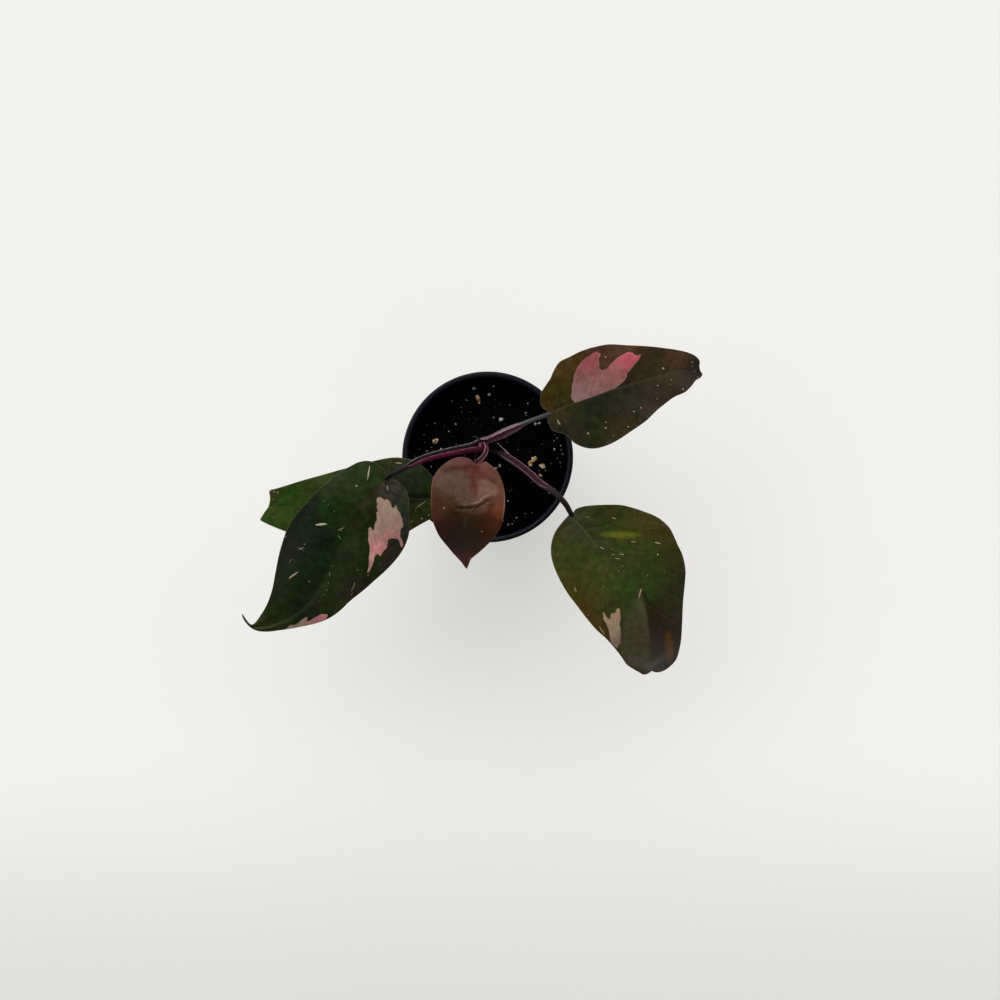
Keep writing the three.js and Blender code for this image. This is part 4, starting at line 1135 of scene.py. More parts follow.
def new_leaf_buckle(flat, size):
    """A smile-shaped crease where the young leaf bends down, with a soft lip on each side of it."""
    x, y = flat[..., 0], flat[..., 1]
    upper = np.interp(x, *zip((-12, 16.5), (-9.9, 17.9), (-6.3, 19.9), (-3.3, 22.9), (0.9, 24.3), (4.1, 25.3),
                              (7.8, 25.5), (11, 25.2)))
    lower = np.interp(x, *zip((-12, 23.5), (-10, 24.4), (-6, 27.4), (-1.7, 28.8), (3.2, 28.4), (8.7, 28),
                              (11, 27.6)))
    reach = smoothstep(x, -13, -6) * (1 - smoothstep(x, 8, 12))
    gap = 0.5 * (upper + lower) - 0.5 + 0.25 * np.sin(1.7 * x) + 0.15 * np.sin(3.9 * x + 1)
    crease = 0.42 * np.exp(-((y - upper) / 0.8) ** 2) - 0.5 * np.exp(-((y - gap) / 0.7) ** 2)
    crumple = np.sin(2.3 * x + 1.9 * np.sin(0.9 * y)) * np.sin(2.0 * y - 1.3 * np.sin(1.1 * x) + 0.8 * x)
    near = np.exp(-((y - gap) / 3.5) ** 2) * np.exp(-((x + 6) / 7) ** 2)
    smile = (crease + 0.3 * np.exp(-((y - lower) / 0.8) ** 2)) * reach
    return (smile + 0.16 * crumple * near) * (1 - size ** 3)


def front_left_swell(flat, size):
    """The two halves belly a little between the midrib and the margin."""
    return 0.5 * np.sin(pi * size) ** 2 * smoothstep(flat[..., 1], 8, 40)


BLADES["blade_front_right"]["crease"] = front_right_fold
BLADES["blade_new"]["crease"] = new_leaf_buckle
BLADES["blade_front_left"]["crease"] = front_left_swell

# %% Tints, patches, flecks and specks of each leaf
# washes: x, y, reach, colour. tints: outline, softness, strength, colour. flecks: x, y, half length,
# half width, turn. specks: x, y, radius. All in mm on the flat blade. The numbers on the first line of
# each leaf: how strong its veins show, how ragged its patches, how uneven its green, how many pale
# glints lie along the veins, and how pale its margin is.
NO_BLUSH = [(0, 40, 40, (196, 168, 150))]

# %% Marks of the right leaf
BLADES["blade_right"] |= {
    "vein_tint": 0.07, "ragged": 0.1, "uneven": 0.8, "glints": 0.12, "margin_tint": 0.5,
    "washes": [
        (-12, 6, 11, (78, 62, 20)), (-2, 10, 6, (62, 56, 26)), (14, 13, 12, (40, 42, 16)),
        (6, 37, 13, (40, 42, 23)), (16, 30, 8, (48, 50, 24)), (21, 39, 8, (86, 72, 52)),
        (-26, 45, 9, (88, 66, 46)), (-27, 20, 7, (84, 66, 28)), (-14, 80, 14, (78, 59, 32)),
        (-12, 62, 9, (68, 56, 34)), (4, 62, 12, (50, 44, 26)), (10, 66, 8, (66, 50, 32)),
        (2, 84, 9, (58, 44, 26)), (-4, 96, 6, (30, 26, 16)),
    ],
    "blush": [
        (-26, 34, 7, (172, 96, 104)), (-22, 30, 6, (174, 100, 106)), (-12, 29, 10, (154, 114, 110)),
        (-3, 20, 8, (156, 128, 130)), (-12, 42, 8, (158, 110, 108)), (-20, 54, 8, (196, 102, 114)),
        (-17, 46, 6, (182, 108, 116)), (-6, 44, 8, (154, 116, 110)), (-5, 32, 7, (156, 116, 116)),
    ],
    "patches": [[
        (-1.6, 17.3), (-1.8, 21), (-2, 25), (-2.5, 30), (-3, 34.5), (-3.4, 38.5), (-3.7, 42), (-4.9, 44.9),
        (-5.9, 47.3), (-7.3, 49.4), (-9.1, 51.1), (-10.6, 51.3), (-11.8, 53.3), (-13.5, 55.4), (-15.3, 58.1),
        (-16.7, 60.1), (-18.3, 61.4), (-19.5, 62.3), (-19.5, 61), (-19.4, 59.6), (-20.3, 58.4), (-21.7, 57.5),
        (-22.4, 55.7), (-22.4, 53.5), (-22, 51.4), (-21.2, 49.3), (-20.3, 47.1), (-19.2, 45.1), (-18.1, 42.9),
        (-17.1, 41.3), (-15.8, 39.8), (-16.5, 39.2), (-16, 38.2), (-15.3, 37.4), (-16.9, 37.1), (-16.7, 36.2),
        (-18.1, 36.1), (-19.5, 37), (-21.2, 36.8), (-23, 37.2), (-24, 38.3), (-25.6, 39.2), (-26, 38.2),
        (-27, 37.6), (-27.2, 36), (-26.7, 33.7), (-25.9, 31.7), (-24.7, 28.9), (-23.5, 26.7), (-22.1, 24.8),
        (-19.9, 22.9), (-18.1, 21.4), (-16.3, 20.3), (-14.7, 20), (-12.9, 18.7), (-11, 17.6), (-8.4, 17.1),
        (-6, 16.1), (-4, 16.1),
    ]],
    "flecks": [(7.5, 5.4, 1.9, 0.65, 18)],
    "specks": [
        (-22.9, 41.4, 0.5), (-18, 49, 0.5), (-12.8, 28.7, 0.5), (-15.5, 22.6, 0.4), (-8.6, 74.7, 0.75),
        (0.5, 68.4, 0.5), (-1, 78.2, 0.4), (1.7, 76.6, 0.35), (6.2, 83.7, 0.65), (-8.4, 95.5, 0.5),
        (-6.1, 94.7, 0.35), (8.2, 65.7, 0.5), (11.2, 54.2, 0.6), (12.3, 49.4, 0.5), (18.3, 51.3, 0.35),
        (14.2, 32, 0.6), (17.4, 31.1, 0.6), (20.1, 43.9, 0.55), (22.8, 34.3, 0.35), (18, 20.4, 0.6),
        (-5.4, 2.7, 0.35), (0.9, 96.9, 0.4), (-4.3, 11.3, 0.25), (-7.8, 19.3, 0.25), (-2.8, 95.6, 0.35),
    ],
}

# %% Marks of the front right leaf
BLADES["blade_front_right"] |= {
    "vein_tint": 0.15, "ragged": 0.2, "uneven": 0.7, "glints": 0.3, "margin_tint": 0.4,
    "washes": [
        (0, 11, 9, (66, 67, 44)), (14, 22, 14, (72, 76, 28)), (5, 43, 12, (82, 90, 42)),
        (-20, 12, 11, (62, 67, 26)), (-19, 40, 13, (68, 80, 36)), (-40, 34, 9, (68, 62, 14)),
        (-28, 26, 8, (78, 72, 24)), (-24, 53, 13, (70, 84, 36)), (-42, 56, 9, (68, 66, 30)),
        (-31, 76, 10, (62, 62, 34)), (-22, 92, 10, (62, 52, 20)), (-14, 112, 9, (64, 48, 16)),
        (18, 46, 10, (90, 76, 24)), (-8, 58, 9, (66, 86, 38)), (18, 66, 8, (86, 74, 26)),
        (8, 62, 8, (72, 80, 38)), (-34, 92, 8, (68, 68, 46)), (-4, 24, 8, (72, 76, 44)),
    ],
    "tints": [
        # the first three tints are painted light on the buckled lower half: the pale grey facet right of the
        # ridge is a painted reflection of the bright room, the dark strip left of it is painted shade, and the
        # paler strip along the ridge is a painted highlight
        ([(-14, 61), (-8, 64), (1, 70), (8, 80), (13.5, 90), (15, 101), (13, 112), (6, 122), (2.4, 125),
          (-3.4, 100), (-8.8, 80.5)], 3.0, 0.9, (98, 90, 66)),
        ([(-14.5, 60.5), (-8.9, 81), (-3.6, 101), (1.5, 125), (-10, 131), (-16, 118), (-17, 98), (-18, 80)],
         1.2, 0.85, (58, 47, 22)),
        ([(-13.6, 62), (-8.9, 66), (-5, 76), (-3.4, 98), (-8.4, 82)], 1.6, 0.6, (104, 96, 76)),
        (oval(-19.3, 25.5, 12, 1.9, 150), 1.3, 0.75, (122, 120, 44)),
        (oval(-13.6, 112, 16.5, 2.6, 78), 1.6, 0.75, (122, 78, 6)),
    ],
    "blush": [
        (12, 63, 7, (184, 168, 140)), (5.6, 68, 3, (198, 132, 126)), (3, 70, 6, (184, 168, 140)),
        (11, 73, 6, (182, 158, 134)), (15, 84, 6, (166, 146, 130)), (7, 78, 6, (186, 168, 140)),
    ],
    "patches": [
        [(12.8, 61.2), (11.7, 61.4), (12, 64.2), (11.4, 66.8), (11.2, 68.1), (9.6, 65.9), (8.5, 64.4),
         (6.9, 65.3), (5.5, 65.3), (4.3, 63.8), (2.8, 64.2), (3, 66.1), (4.6, 69.6), (6.2, 72.5), (7.5, 74.2),
         (7.3, 76.4), (9.1, 80), (10.6, 82.4), (12.4, 86.8), (12.6, 85.8), (13.8, 86.3), (15.2, 88.4),
         (16.3, 85.6), (16.9, 81.8), (16.5, 78.8), (14.9, 74.7), (14.2, 71.3), (14.2, 68.9), (14.4, 66),
         (14.2, 64.3), (13.4, 64.4)],
    ],
    "flecks": [
        (-24.1, 33.1, 1.4, 0.28, 151), (-36.4, 40.9, 1.9, 0.38, 137), (-5.8, 27.1, 1.5, 0.36, 124),
        (-9.8, 33.7, 1.4, 0.24, 146), (-14.3, 36.1, 1.5, 0.28, 141), (-10.9, 37.3, 1.5, 0.24, 146),
        (-20.9, 15.2, 1.3, 0.24, 145), (-7.5, 6.8, 0.9, 0.18, 139), (20.3, 41.1, 1.7, 0.6, 76),
        (-12.7, 62.7, 3, 0.42, 48), (20.9, 59, 1.2, 0.18, 174), (18.3, 72, 3.6, 0.45, 96),
        (13.9, 93.7, 0.7, 0.2, 17), (4.7, 47.7, 0.7, 0.22, 89),
    ],
    "specks": [
        (-33, 47.1, 0.58), (-21.7, 55.3, 0.42), (-31.4, 58.7, 0.42), (-11.4, 42.9, 0.36), (-7.6, 44.3, 0.3),
        (-5.3, 86.8, 0.22), (-46.3, 47.7, 0.28), (-5.3, 127.7, 0.42), (11.5, 33.8, 0.22),
        (-10.6, 30.7, 0.22), (-24.9, 38.2, 0.22), (-34.5, 61.5, 0.22),
    ],
}

# %% Marks of the newest leaf
BLADES["blade_new"] |= {
    "vein_tint": 0.06, "ragged": 0.2, "uneven": 0.45, "glints": 0.15, "margin_tint": 0.3,
    # the pale washes over the upper half, above the crease, are partly the leaf's own bronze and partly
    # painted sheen
    "washes": [
        (10, 13, 10, (96, 76, 62)), (-9, 12, 10, (108, 78, 64)), (8, -1, 6, (118, 84, 78)),
        (-6, -1, 6, (120, 72, 66)), (1, 20, 8, (96, 72, 58)), (2, 42, 14, (56, 32, 6)),
        (-16, 34, 9, (92, 46, 16)), (20, 24, 8, (84, 62, 42)), (-20, 14, 7, (114, 76, 60)),
        (-13, 24, 6, (104, 66, 42)), (12, 38, 8, (66, 38, 14)), (1, 64, 8, (94, 50, 40)),
        (20.5, 30.5, 5, (108, 64, 54)), (4, 30, 7, (70, 50, 30)), (-6, 50, 6, (70, 44, 24)),
        (15.6, 40.5, 5, (62, 28, 22)),
    ],
    "tints": [
        # the first two tints are painted reflection: the pale sheen of the bright room on the glossy upper
        # half, to the right and left of the midrib
        ([(22.1, 10.7), (19.5, 7.3), (12.6, 5.5), (5.6, 4.4), (2.6, 4.4), (1.9, 9), (1.9, 14.5), (0.4, 18.2),
          (0.5, 23.2), (4.1, 24.9), (7.5, 23.9), (11.1, 19.9), (14.6, 18.2), (19, 17), (22.4, 15.7)],
         1.8, 0.8, (102, 86, 74)),
        ([(0.1, 10.5), (-3, 8.6), (-7.4, 8.8), (-11.5, 11.2), (-13.9, 14.3), (-12.6, 17.7), (-9.5, 18.5),
          (-6.4, 20.4), (-3.4, 23.4), (-0.2, 24.2), (-0.8, 19.8), (-2.7, 16.3), (-1.3, 13.1)],
         1.3, 0.8, (128, 100, 86)),
        (oval(3, 5, 9, 5, 100), 4.0, 0.3, (104, 48, 40)),
        ([(19.1, 6.2), (15.5, 3.3), (10.2, 1.6), (4.8, 1.8), (2.9, 3.6), (7.2, 4.3), (12.6, 5.5),
          (17.8, 7.7)], 2.2, 0.75, (78, 32, 22)),
        ([(2.7, 0.8), (-1.1, 0.4), (-3.7, 4.1), (-9.5, 7.5), (-11.9, 10), (-9.7, 9.7), (-5.1, 7.8),
          (-1.9, 8.1), (-1.4, 11.5), (-2.6, 15.2), (-1.3, 18.7), (0.6, 16.6), (1.6, 8.9), (2.6, 4.6)],
         2.6, 0.75, (94, 34, 28)),
        ([(20.5, 4), (22.9, 10), (23, 18), (22.2, 27), (24.5, 27), (26, 18), (25, 8), (22, 2)],
         0.9, 0.5, (116, 70, 62)),
        ([(-17.2, 12), (-18, 20), (-17.4, 30), (-19.5, 30), (-20, 20), (-18.5, 11)],
         0.9, 0.6, (150, 112, 106)),
        # these two tints paint the crease's light: the dark strip is painted shade in the gap under the upper
        # lip, and the pale strip below it is a painted highlight on the lower lip
        ([(9.5, 26.2), (2.9, 25.9), (-1.4, 25), (-5.5, 23), (-8.5, 20), (-7.5, 22.6), (-4, 25.4), (0, 27),
          (4, 27.3), (9, 27.2)], 0.5, 0.7, (64, 46, 24)),
        ([(9, 27.4), (3.2, 27.9), (-1.7, 28.2), (-6, 26.8), (-10, 23.8), (-10.5, 25), (-6, 28.2),
          (-1.7, 29.6), (3.2, 29.2), (8.7, 28.6)], 0.6, 0.6, (112, 82, 64)),
        ([(-6.5, 22), (-10.6, 18.9), (-14, 20.8), (-13.3, 24.1), (-9.1, 25)], 1.4, 0.6, (84, 56, 28)),
        ([(-13.1, 22), (-15.8, 21.7), (-16.8, 26.3), (-16.6, 29.8), (-13.9, 30.1), (-12.4, 26.2)],
         1.5, 0.7, (122, 80, 52)),
        ([(3.9, 30), (2, 30.4), (1.6, 34.6), (2.6, 39), (4, 39), (4.3, 34)], 0.7, 0.5, (84, 66, 44)),
    ],
    "blush": [(0, 30, 40, (176, 132, 122))],
    "flecks": [],
    # the last speck, near the tip, is a painted highlight: a small pale dome for a glare of light on the leaf
    "specks": [(15.8, 27.3, 0.52), (-6.8, 39.3, 0.57), (-1.2, 61.2, 0.43)],
}

# %% Marks of the front left leaf
BLADES["blade_front_left"] |= {
    "vein_tint": 0.05, "ragged": 0.12, "uneven": 1.1, "glints": 0.25, "margin_tint": 0.35,
    "washes": [
        (13, 23, 12, (44, 60, 24)), (22, 20, 7, (42, 50, 26)), (1, 57, 13, (20, 46, 10)),
        (18, 52, 10, (26, 42, 22)), (12, 70, 10, (20, 28, 4)), (-12, 91, 11, (24, 44, 2)),
        (-8, 114, 9, (40, 52, 4)), (-15, 4, 7, (62, 62, 48)), (-6, 30, 8, (38, 42, 14)),
        (-18, 46, 11, (38, 54, 20)), (-33, 30, 8, (62, 52, 42)), (-33, 62, 9, (52, 46, 30)),
        (-22, 74, 10, (38, 54, 12)), (-3, 80, 9, (20, 44, 4)), (7, 40, 9, (30, 58, 20)),
        (-26, 84, 8, (44, 50, 18)), (3, 100, 7, (38, 42, 14)), (-20, 10, 7, (58, 62, 50)),
        (17, 70, 6, (34, 34, 22)),
    ],
    "tints": [
        (oval(-0.5, 14, 12, 1.8, 88), 2.0, 0.6, (72, 50, 44)),
        # painted shade: the second tint darkens the midrib's valley on the outer half of the leaf
        (oval(-14, 84, 20, 2.4, 98), 2.6, 0.6, (16, 24, 8)),
        (oval(4, 54, 9, 6, 70), 5, 0.5, (14, 32, 18)),
    ],
    "blush": [
        (-11, 14, 9, (168, 146, 132)), (-17, 20, 7, (166, 144, 132)), (-24, 16, 5, (172, 138, 132)),
        (-15, 29, 6, (168, 146, 132)), (-21, 27, 5, (174, 140, 130)), (-25.5, 24, 4, (190, 134, 134)),
        (-25, 32.5, 4.5, (208, 146, 150)), (-24, 40, 8, (202, 152, 152)), (-28.5, 46, 5, (188, 150, 140)),
        (-18.5, 110, 7, (158, 146, 120)), (-22.5, 100, 5, (164, 136, 122)), (-26, 94, 5, (190, 128, 136)),
        (-29, 89, 5, (194, 132, 134)), (9, 48, 8, (196, 176, 158)),
    ],
    "patches": [
        [(-4.5, 14.2), (-3.9, 12.8), (-4.5, 12), (-5.7, 11.3), (-7.5, 11.1), (-8.2, 11.1), (-7.8, 10.2),
         (-8.8, 9.7), (-9.8, 9.6), (-11, 9.5), (-12.3, 10), (-13.6, 10.8), (-14.6, 11.1), (-15.2, 10.5),
         (-15.1, 9.6), (-14.1, 8.6), (-14.8, 8.5), (-16.1, 9), (-17.5, 9.7), (-19.1, 10), (-20.9, 10.5),
         (-22.5, 11.4), (-24.2, 12.5), (-25.8, 13.6), (-27.2, 15), (-26.7, 16.2), (-27.1, 17.2), (-28.4, 18.7),
         (-29.5, 20.1), (-30.9, 20.6), (-32.7, 21.2), (-34.2, 22.2), (-35.3, 23.8), (-34.3, 24.2), (-33, 23.6),
         (-31.8, 22.7), (-30.3, 21.9), (-29.1, 22.5), (-28.5, 23.4), (-27.1, 24), (-26.4, 25.1), (-25.7, 26.2),
         (-26.5, 27.5), (-27.8, 29.2), (-28.8, 30.7), (-28.6, 32), (-28.7, 33.6), (-28.9, 35.1), (-29.7, 36.4),
         (-28.8, 36.8), (-27.4, 36.7), (-26, 36.5), (-27.1, 38.5), (-27.9, 40.5), (-29.1, 42.8), (-30.1, 45.3),
         (-30.9, 47.6), (-31, 49.2), (-29.9, 48.9), (-29.3, 47.4), (-27.9, 45.3), (-26.7, 43.7), (-25.2, 42.4),
         (-24, 40.7), (-22.9, 39.1), (-21.3, 37.2), (-19.7, 36), (-17.5, 34.6), (-15.9, 32.8), (-14.3, 31),
         (-12.6, 29.8), (-12.7, 28.8), (-12.9, 28), (-13.7, 28.1), (-14.8, 28.5), (-15.7, 28.8), (-15.8, 28.1),
         (-15, 26.9), (-13.8, 25.3), (-13.1, 24.3), (-13.4, 23.3), (-11.9, 21.6), (-10.4, 20.3), (-9.5, 19.3),
         (-10.3, 19.1), (-10, 18.4), (-8.8, 17.8), (-7.5, 17), (-6.6, 15.8), (-5.3, 15)],
        [(-17.8, 112.6), (-17.7, 111.3), (-18, 109.2), (-19.1, 107), (-19.8, 107.4), (-21, 103.5),
         (-21.4, 100.5), (-21.8, 98.4), (-22.4, 95.9), (-23.1, 96.3), (-23.5, 97.8), (-24.1, 99.1),
         (-25.3, 97.3), (-26, 93.8), (-26.7, 91.5), (-27.1, 89.9), (-27.5, 88.3), (-29.2, 87.4), (-30.1, 86),
         (-30.8, 86.5), (-31.6, 89.5), (-30.6, 92.9), (-28.8, 97.2), (-25.9, 102), (-23.3, 106.4),
         (-20.6, 110.3)],
    ],
    "flecks": [
        (8.9, 47.5, 3.5, 0.8, 50), (10.1, 5.9, 4.3, 0.5, 126), (0.5, 82.5, 4, 0.45, 80),
        (-4.4, 4.8, 1.6, 0.28, 143), (7.6, 67.3, 2.3, 0.16, 14), (-1.3, 41.3, 2.2, 0.16, 67),
        (-4.4, 45.5, 1.5, 0.16, 168), (-14.9, 66, 1.3, 0.2, 119), (-30.5, 61.8, 3.1, 0.17, 109),
        (-32.6, 65.5, 1.6, 0.16, 96), (7.8, 77.5, 1.8, 0.15, 91), (-31.9, 50, 0.9, 0.18, 89),
        (8, 66.9, 2.1, 0.15, 63), (19.8, 69, 1.3, 0.15, 77), (-9, 78.6, 1.1, 0.15, 163),
    ],
    "specks": [
        (9.7, 16.5, 0.6), (-25.2, 51.9, 0.4), (-21.5, 83.2, 0.3), (-18, 70.6, 0.3), (-28, 90.7, 0.3),
        (-2.2, 41.7, 0.3), (8.3, 63.6, 0.3), (24.6, 51.8, 0.25), (8.6, 36.2, 0.25), (17.1, 36, 0.25),
        (13.7, 36.1, 0.25), (-29.1, 59.2, 0.3), (-12.7, 61.3, 0.3), (-20.1, 74.7, 0.3), (-20.8, 78.5, 0.3),
        (-32, 40.6, 0.3),
    ],
}

# %% Marks of the left leaf
BLADES["blade_left"] |= {
    "vein_tint": 0.08, "ragged": 0.2, "uneven": 1.1, "glints": 0.25, "margin_tint": 0.9,
    "washes": [
        (2, 98, 14, (52, 76, 2)), (-10, 104, 10, (50, 80, 4)), (13, 80, 11, (60, 74, 28)),
        (14, 20, 11, (50, 66, 38)), (-8, 16, 9, (60, 66, 32)), (24, 30, 6, (66, 72, 44)),
        (0, 60, 16, (50, 70, 10)), (-14, 40, 12, (56, 66, 26)), (6, 42, 10, (42, 58, 24)),
        (-18, 24, 5, (92, 84, 42)), (9.5, 108, 4, (70, 62, 20)),
    ],
    "tints": [
        # painted shade: a dark band along the midrib near the base
        ([(3, 2), (5, 12), (4.5, 30), (1.5, 40), (-0.5, 30), (-1.5, 14), (0, 4)], 1.6, 0.8, (18, 26, 6)),
    ],
    "blush": NO_BLUSH,
    "flecks": [(23.4, 27.5, 2.3, 0.37, 81), (-2.8, 15.2, 3.9, 0.2, 123)],
    "specks": [
        (8.8, 105.4, 0.5), (9.4, 108, 0.6), (4.6, 108.6, 0.4), (-11.5, 14.9, 0.7), (-9.6, 10.5, 0.4),
        (-13.1, 21, 0.3), (9.8, 110, 0.35), (-6.7, 18.5, 0.3),
    ],
}
print({name: len(blade["washes"]) for name, blade in BLADES.items()}, "washes")

# %% [markdown]
# ## The skin of the leaves
# An upper face is a waxy green skin over darker and paler cells. Its gloss is broken by fine parallel
# veins, its patches lack the green, and its margin is a thin pale line. A painted picture could say all
# that, but only for one size and one view. Nodes that read the carried distances stay sharp at any size.
# The underside has no wax and much red: dull wine with paler veins.

# %% Parts of the upper face
def toned(tree, skin, share, amount, leaning):
    """The skin made darker by that amount where the share is 0 and lighter where it is 1. The leaning
    says how much each of red, green and blue takes part."""
    low, high = (tuple(1 + way * amount * part for part in leaning) + (1.0,) for way in (-1, 1))
    return blend(tree, 1.0, skin, blend(tree, share, low, high), "MULTIPLY")


def leaf_textures(tree):
    """Noises at every scale of a leaf. Threads, hairlines and teeth run along the side veins."""
    rib = carried(tree, "rib", "Vector")
    return {
        "threads": mottle(tree, (1.7, 0.06, 1), rib),
        "hairlines": mottle(tree, (5.0, 0.10, 1), rib, detail=2.0),
        "teeth": mottle(tree, (0.5, 0.05, 1), rib, detail=2.0),
        "blotches": mottle(tree, (62, 62, 62)),
        "clouds": mottle(tree, (230, 230, 230), detail=4.0),
        "grain": mottle(tree, (1300, 1300, 1300), detail=2.0),
        "pores": cells(tree, 2600),
    }


def green_skin(tree, blade, texture, vein_colour):
    """Living skin: greener and browner blotches, clouds, threads along the veins, and a fine grain."""
    uneven = blade["uneven"]
    skin = carried(tree, "tint", "Color")
    skin = toned(tree, skin, ramp(tree, texture["blotches"], 0.36, 0.64), 0.16 * uneven, (1, -0.3, 1.2))
    skin = toned(tree, skin, ramp(tree, texture["clouds"], 0.32, 0.68), 0.2 * uneven, (1, 1, 1.1))
    skin = toned(tree, skin, ramp(tree, texture["threads"], 0.3, 0.7), 0.1, (1, 1, 1))
    skin = toned(tree, skin, ramp(tree, texture["grain"], 0.3, 0.7), 0.12 * uneven, (1, 1, 1))
    glints = ramp(tree, texture["threads"], 0.58, 0.74, 0.0, blade["glints"])
    glints = calc(tree, "MULTIPLY", glints, ramp(tree, texture["blotches"], 0.5, 0.62))
    skin = blend(tree, glints, skin, paint(120, 122, 104))
    near_vein = ramp(tree, carried(tree, "vein"), 0.1, 0.75, blade["vein_tint"], 0.0)
    return blend(tree, near_vein, skin, vein_colour)


def depth_in_patch(tree, blade, texture):
    """How far inside a bare patch, in mm. Its edge is eaten along the veins but clean at the midrib."""
    eaten = 0.0
    for label, reach in (("teeth", 8.0), ("threads", 4.0), ("hairlines", 2.4)):
        swing = calc(tree, "SUBTRACT", texture[label], 0.5)
        eaten = calc(tree, "ADD", calc(tree, "MULTIPLY", swing, reach), eaten)
    off_midrib = ramp(tree, carried(tree, "middle"), 1.0, 6.0, 0.0, blade["ragged"])
    return calc(tree, "ADD", carried(tree, "patch"), calc(tree, "MULTIPLY", eaten, off_midrib))


def bare_skin(tree, texture, depth):
    """Skin that grew without green, with a pale rim."""
    bare = carried(tree, "blush", "Color")
    bare = toned(tree, bare, ramp(tree, texture["clouds"], 0.35, 0.65), 0.09, (1, 1.2, 1.2))
    bare = toned(tree, bare, ramp(tree, texture["threads"], 0.35, 0.65), 0.08, (1, 1.2, 1))
    bare = toned(tree, bare, ramp(tree, texture["grain"], 0.3, 0.7), 0.07, (1, 1, 1))
    return blend(tree, ramp(tree, depth, 0.2, 0.9, 0.35, 0.0), bare, paint(158, 138, 126))


# %% The whole upper finish
def leaf_top_finish(name, blade, roughness, gloss, vein_colour, margin_colour):
    material, tree, shader = new_finish(name, roughness, gloss)
    texture = leaf_textures(tree)
    depth = depth_in_patch(tree, blade, texture)
    green = green_skin(tree, blade, texture, vein_colour)
    skin = blend(tree, ramp(tree, depth, -0.12, 0.12), green, bare_skin(tree, texture, depth))
    on_midrib = ramp(tree, carried(tree, "middle"), 0.2, 1.1, 2.4 * blade["vein_tint"], 0.0)
    skin = blend(tree, on_midrib, skin, vein_colour)
    on_margin = ramp(tree, carried(tree, "margin"), 0.1, 0.55, blade["margin_tint"], 0.0)
    feed(tree, shader.inputs["Base Color"], blend(tree, on_margin, skin, margin_colour))
    satin = ramp(tree, texture["clouds"], 0.3, 0.7, roughness - 0.06, roughness + 0.1)
    feed(tree, shader.inputs["Roughness"], satin)
    height = 0.0
    for label, amount in (("hairlines", 0.7), ("pores", 0.2), ("clouds", 0.8)):
        height = calc(tree, "ADD", calc(tree, "MULTIPLY", texture[label], amount), height)
    relief(tree, shader, height, depth=0.16, strength=0.5)
    return material


# %% Underside and specks
def leaf_underside_finish(name, flesh, wine, vein_colour):
    material, tree, shader = new_finish(name, roughness=0.6, gloss=0.3)
    threads = mottle(tree, (1.7, 0.06, 1), carried(tree, "rib", "Vector"))
    clouds = mottle(tree, (110, 110, 110), detail=4.0)
    skin = blend(tree, ramp(tree, clouds, 0.3, 0.7), flesh, wine)
    depth = calc(tree, "ADD", carried(tree, "patch"), calc(tree, "SUBTRACT", threads, 0.5))
    skin = blend(tree, ramp(tree, depth, -0.2, 0.2, 0.0, 0.8), skin, paint(178, 126, 122))
    near_vein = ramp(tree, carried(tree, "vein"), 0.2, 1.0, 0.55, 0.0)
    skin = blend(tree, near_vein, skin, vein_colour)
    on_midrib = ramp(tree, carried(tree, "middle"), 0.8, 2.0, 0.85, 0.0)
    feed(tree, shader.inputs["Base Color"], blend(tree, on_midrib, skin, vein_colour))
    relief(tree, shader, threads, depth=0.15, strength=0.6)
    return material


def speck_finish():
    material, tree, shader = new_finish("bare_speck", roughness=0.5, gloss=0.3)
    grains = mottle(tree, (3000, 3000, 3000), detail=2.0)
    pale = blend(tree, grains, paint(158, 146, 122), paint(206, 196, 176))
    pale = blend(tree, 0.35, pale, carried(tree, "blush", "Color"))
    speckled = blend(tree, carried(tree, "fresh"), carried(tree, "tint", "Color"), pale)
    feed(tree, shader.inputs["Base Color"], speckled)
    relief(tree, shader, grains, depth=0.05)
    return material


# %% Make the five blades
def upper_skin(name, blade):
    """Each leaf's own upper face: the old ones green and satin, the new one bronze and wetter."""
    if name == "blade_new":
        return leaf_top_finish("bronze_new_skin", blade, 0.28, 0.3, paint(112, 62, 52), paint(168, 116, 108))
    label = name.replace("blade_", "green_skin_")
    return leaf_top_finish(label, blade, 0.36, 0.26, paint(112, 100, 80), paint(122, 112, 92))


UNDERSIDES = {
    "leaf": ("wine_green_underside", (74, 56, 48), (92, 40, 50), (120, 82, 80)),
    "new_leaf": ("wine_new_underside", (104, 46, 50), (126, 60, 66), (150, 92, 94)),
}
under_skins = {slot: leaf_underside_finish(label, *(paint(*colour) for colour in colours))
               for slot, (label, *colours) in UNDERSIDES.items()}
speck = speck_finish()
for name, blade in BLADES.items():
    slot = "new_leaf" if name == "blade_new" else "leaf"
    finishes = [upper_skin(name, blade), under_skins[slot], speck]
    leaf = make_blade(name.replace("blade", "leaf"), blade, finishes)
    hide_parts(name)

# %% [markdown]
# ## The leaf stalks
# Each stalk clasps the stem, runs up as an open channel with two thin pale lips, and closes to a round
# stalk before the blade. A bevelled curve is round all the way. Here the section itself changes along
# the line, from the channel to the round one, and turns a little so that the channel looks outward.

# %% Sections of a stalk
# Each place is [side, up, floor, wall, lip]: shares of the half width, then how much it takes of the
# colours of the channel's floor, painted darker as shade, of its walls, and of its pale lips, which are
# partly the sheath's thin edge and partly a painted highlight. The two lists match, place for place.
def mirrored(half):
    """The right half of a closed section, from its middle top to its middle bottom, made whole."""
    left = [[-side, *rest] for side, *rest in reversed(half[1:-1])]
    return np.array(half + left, float)


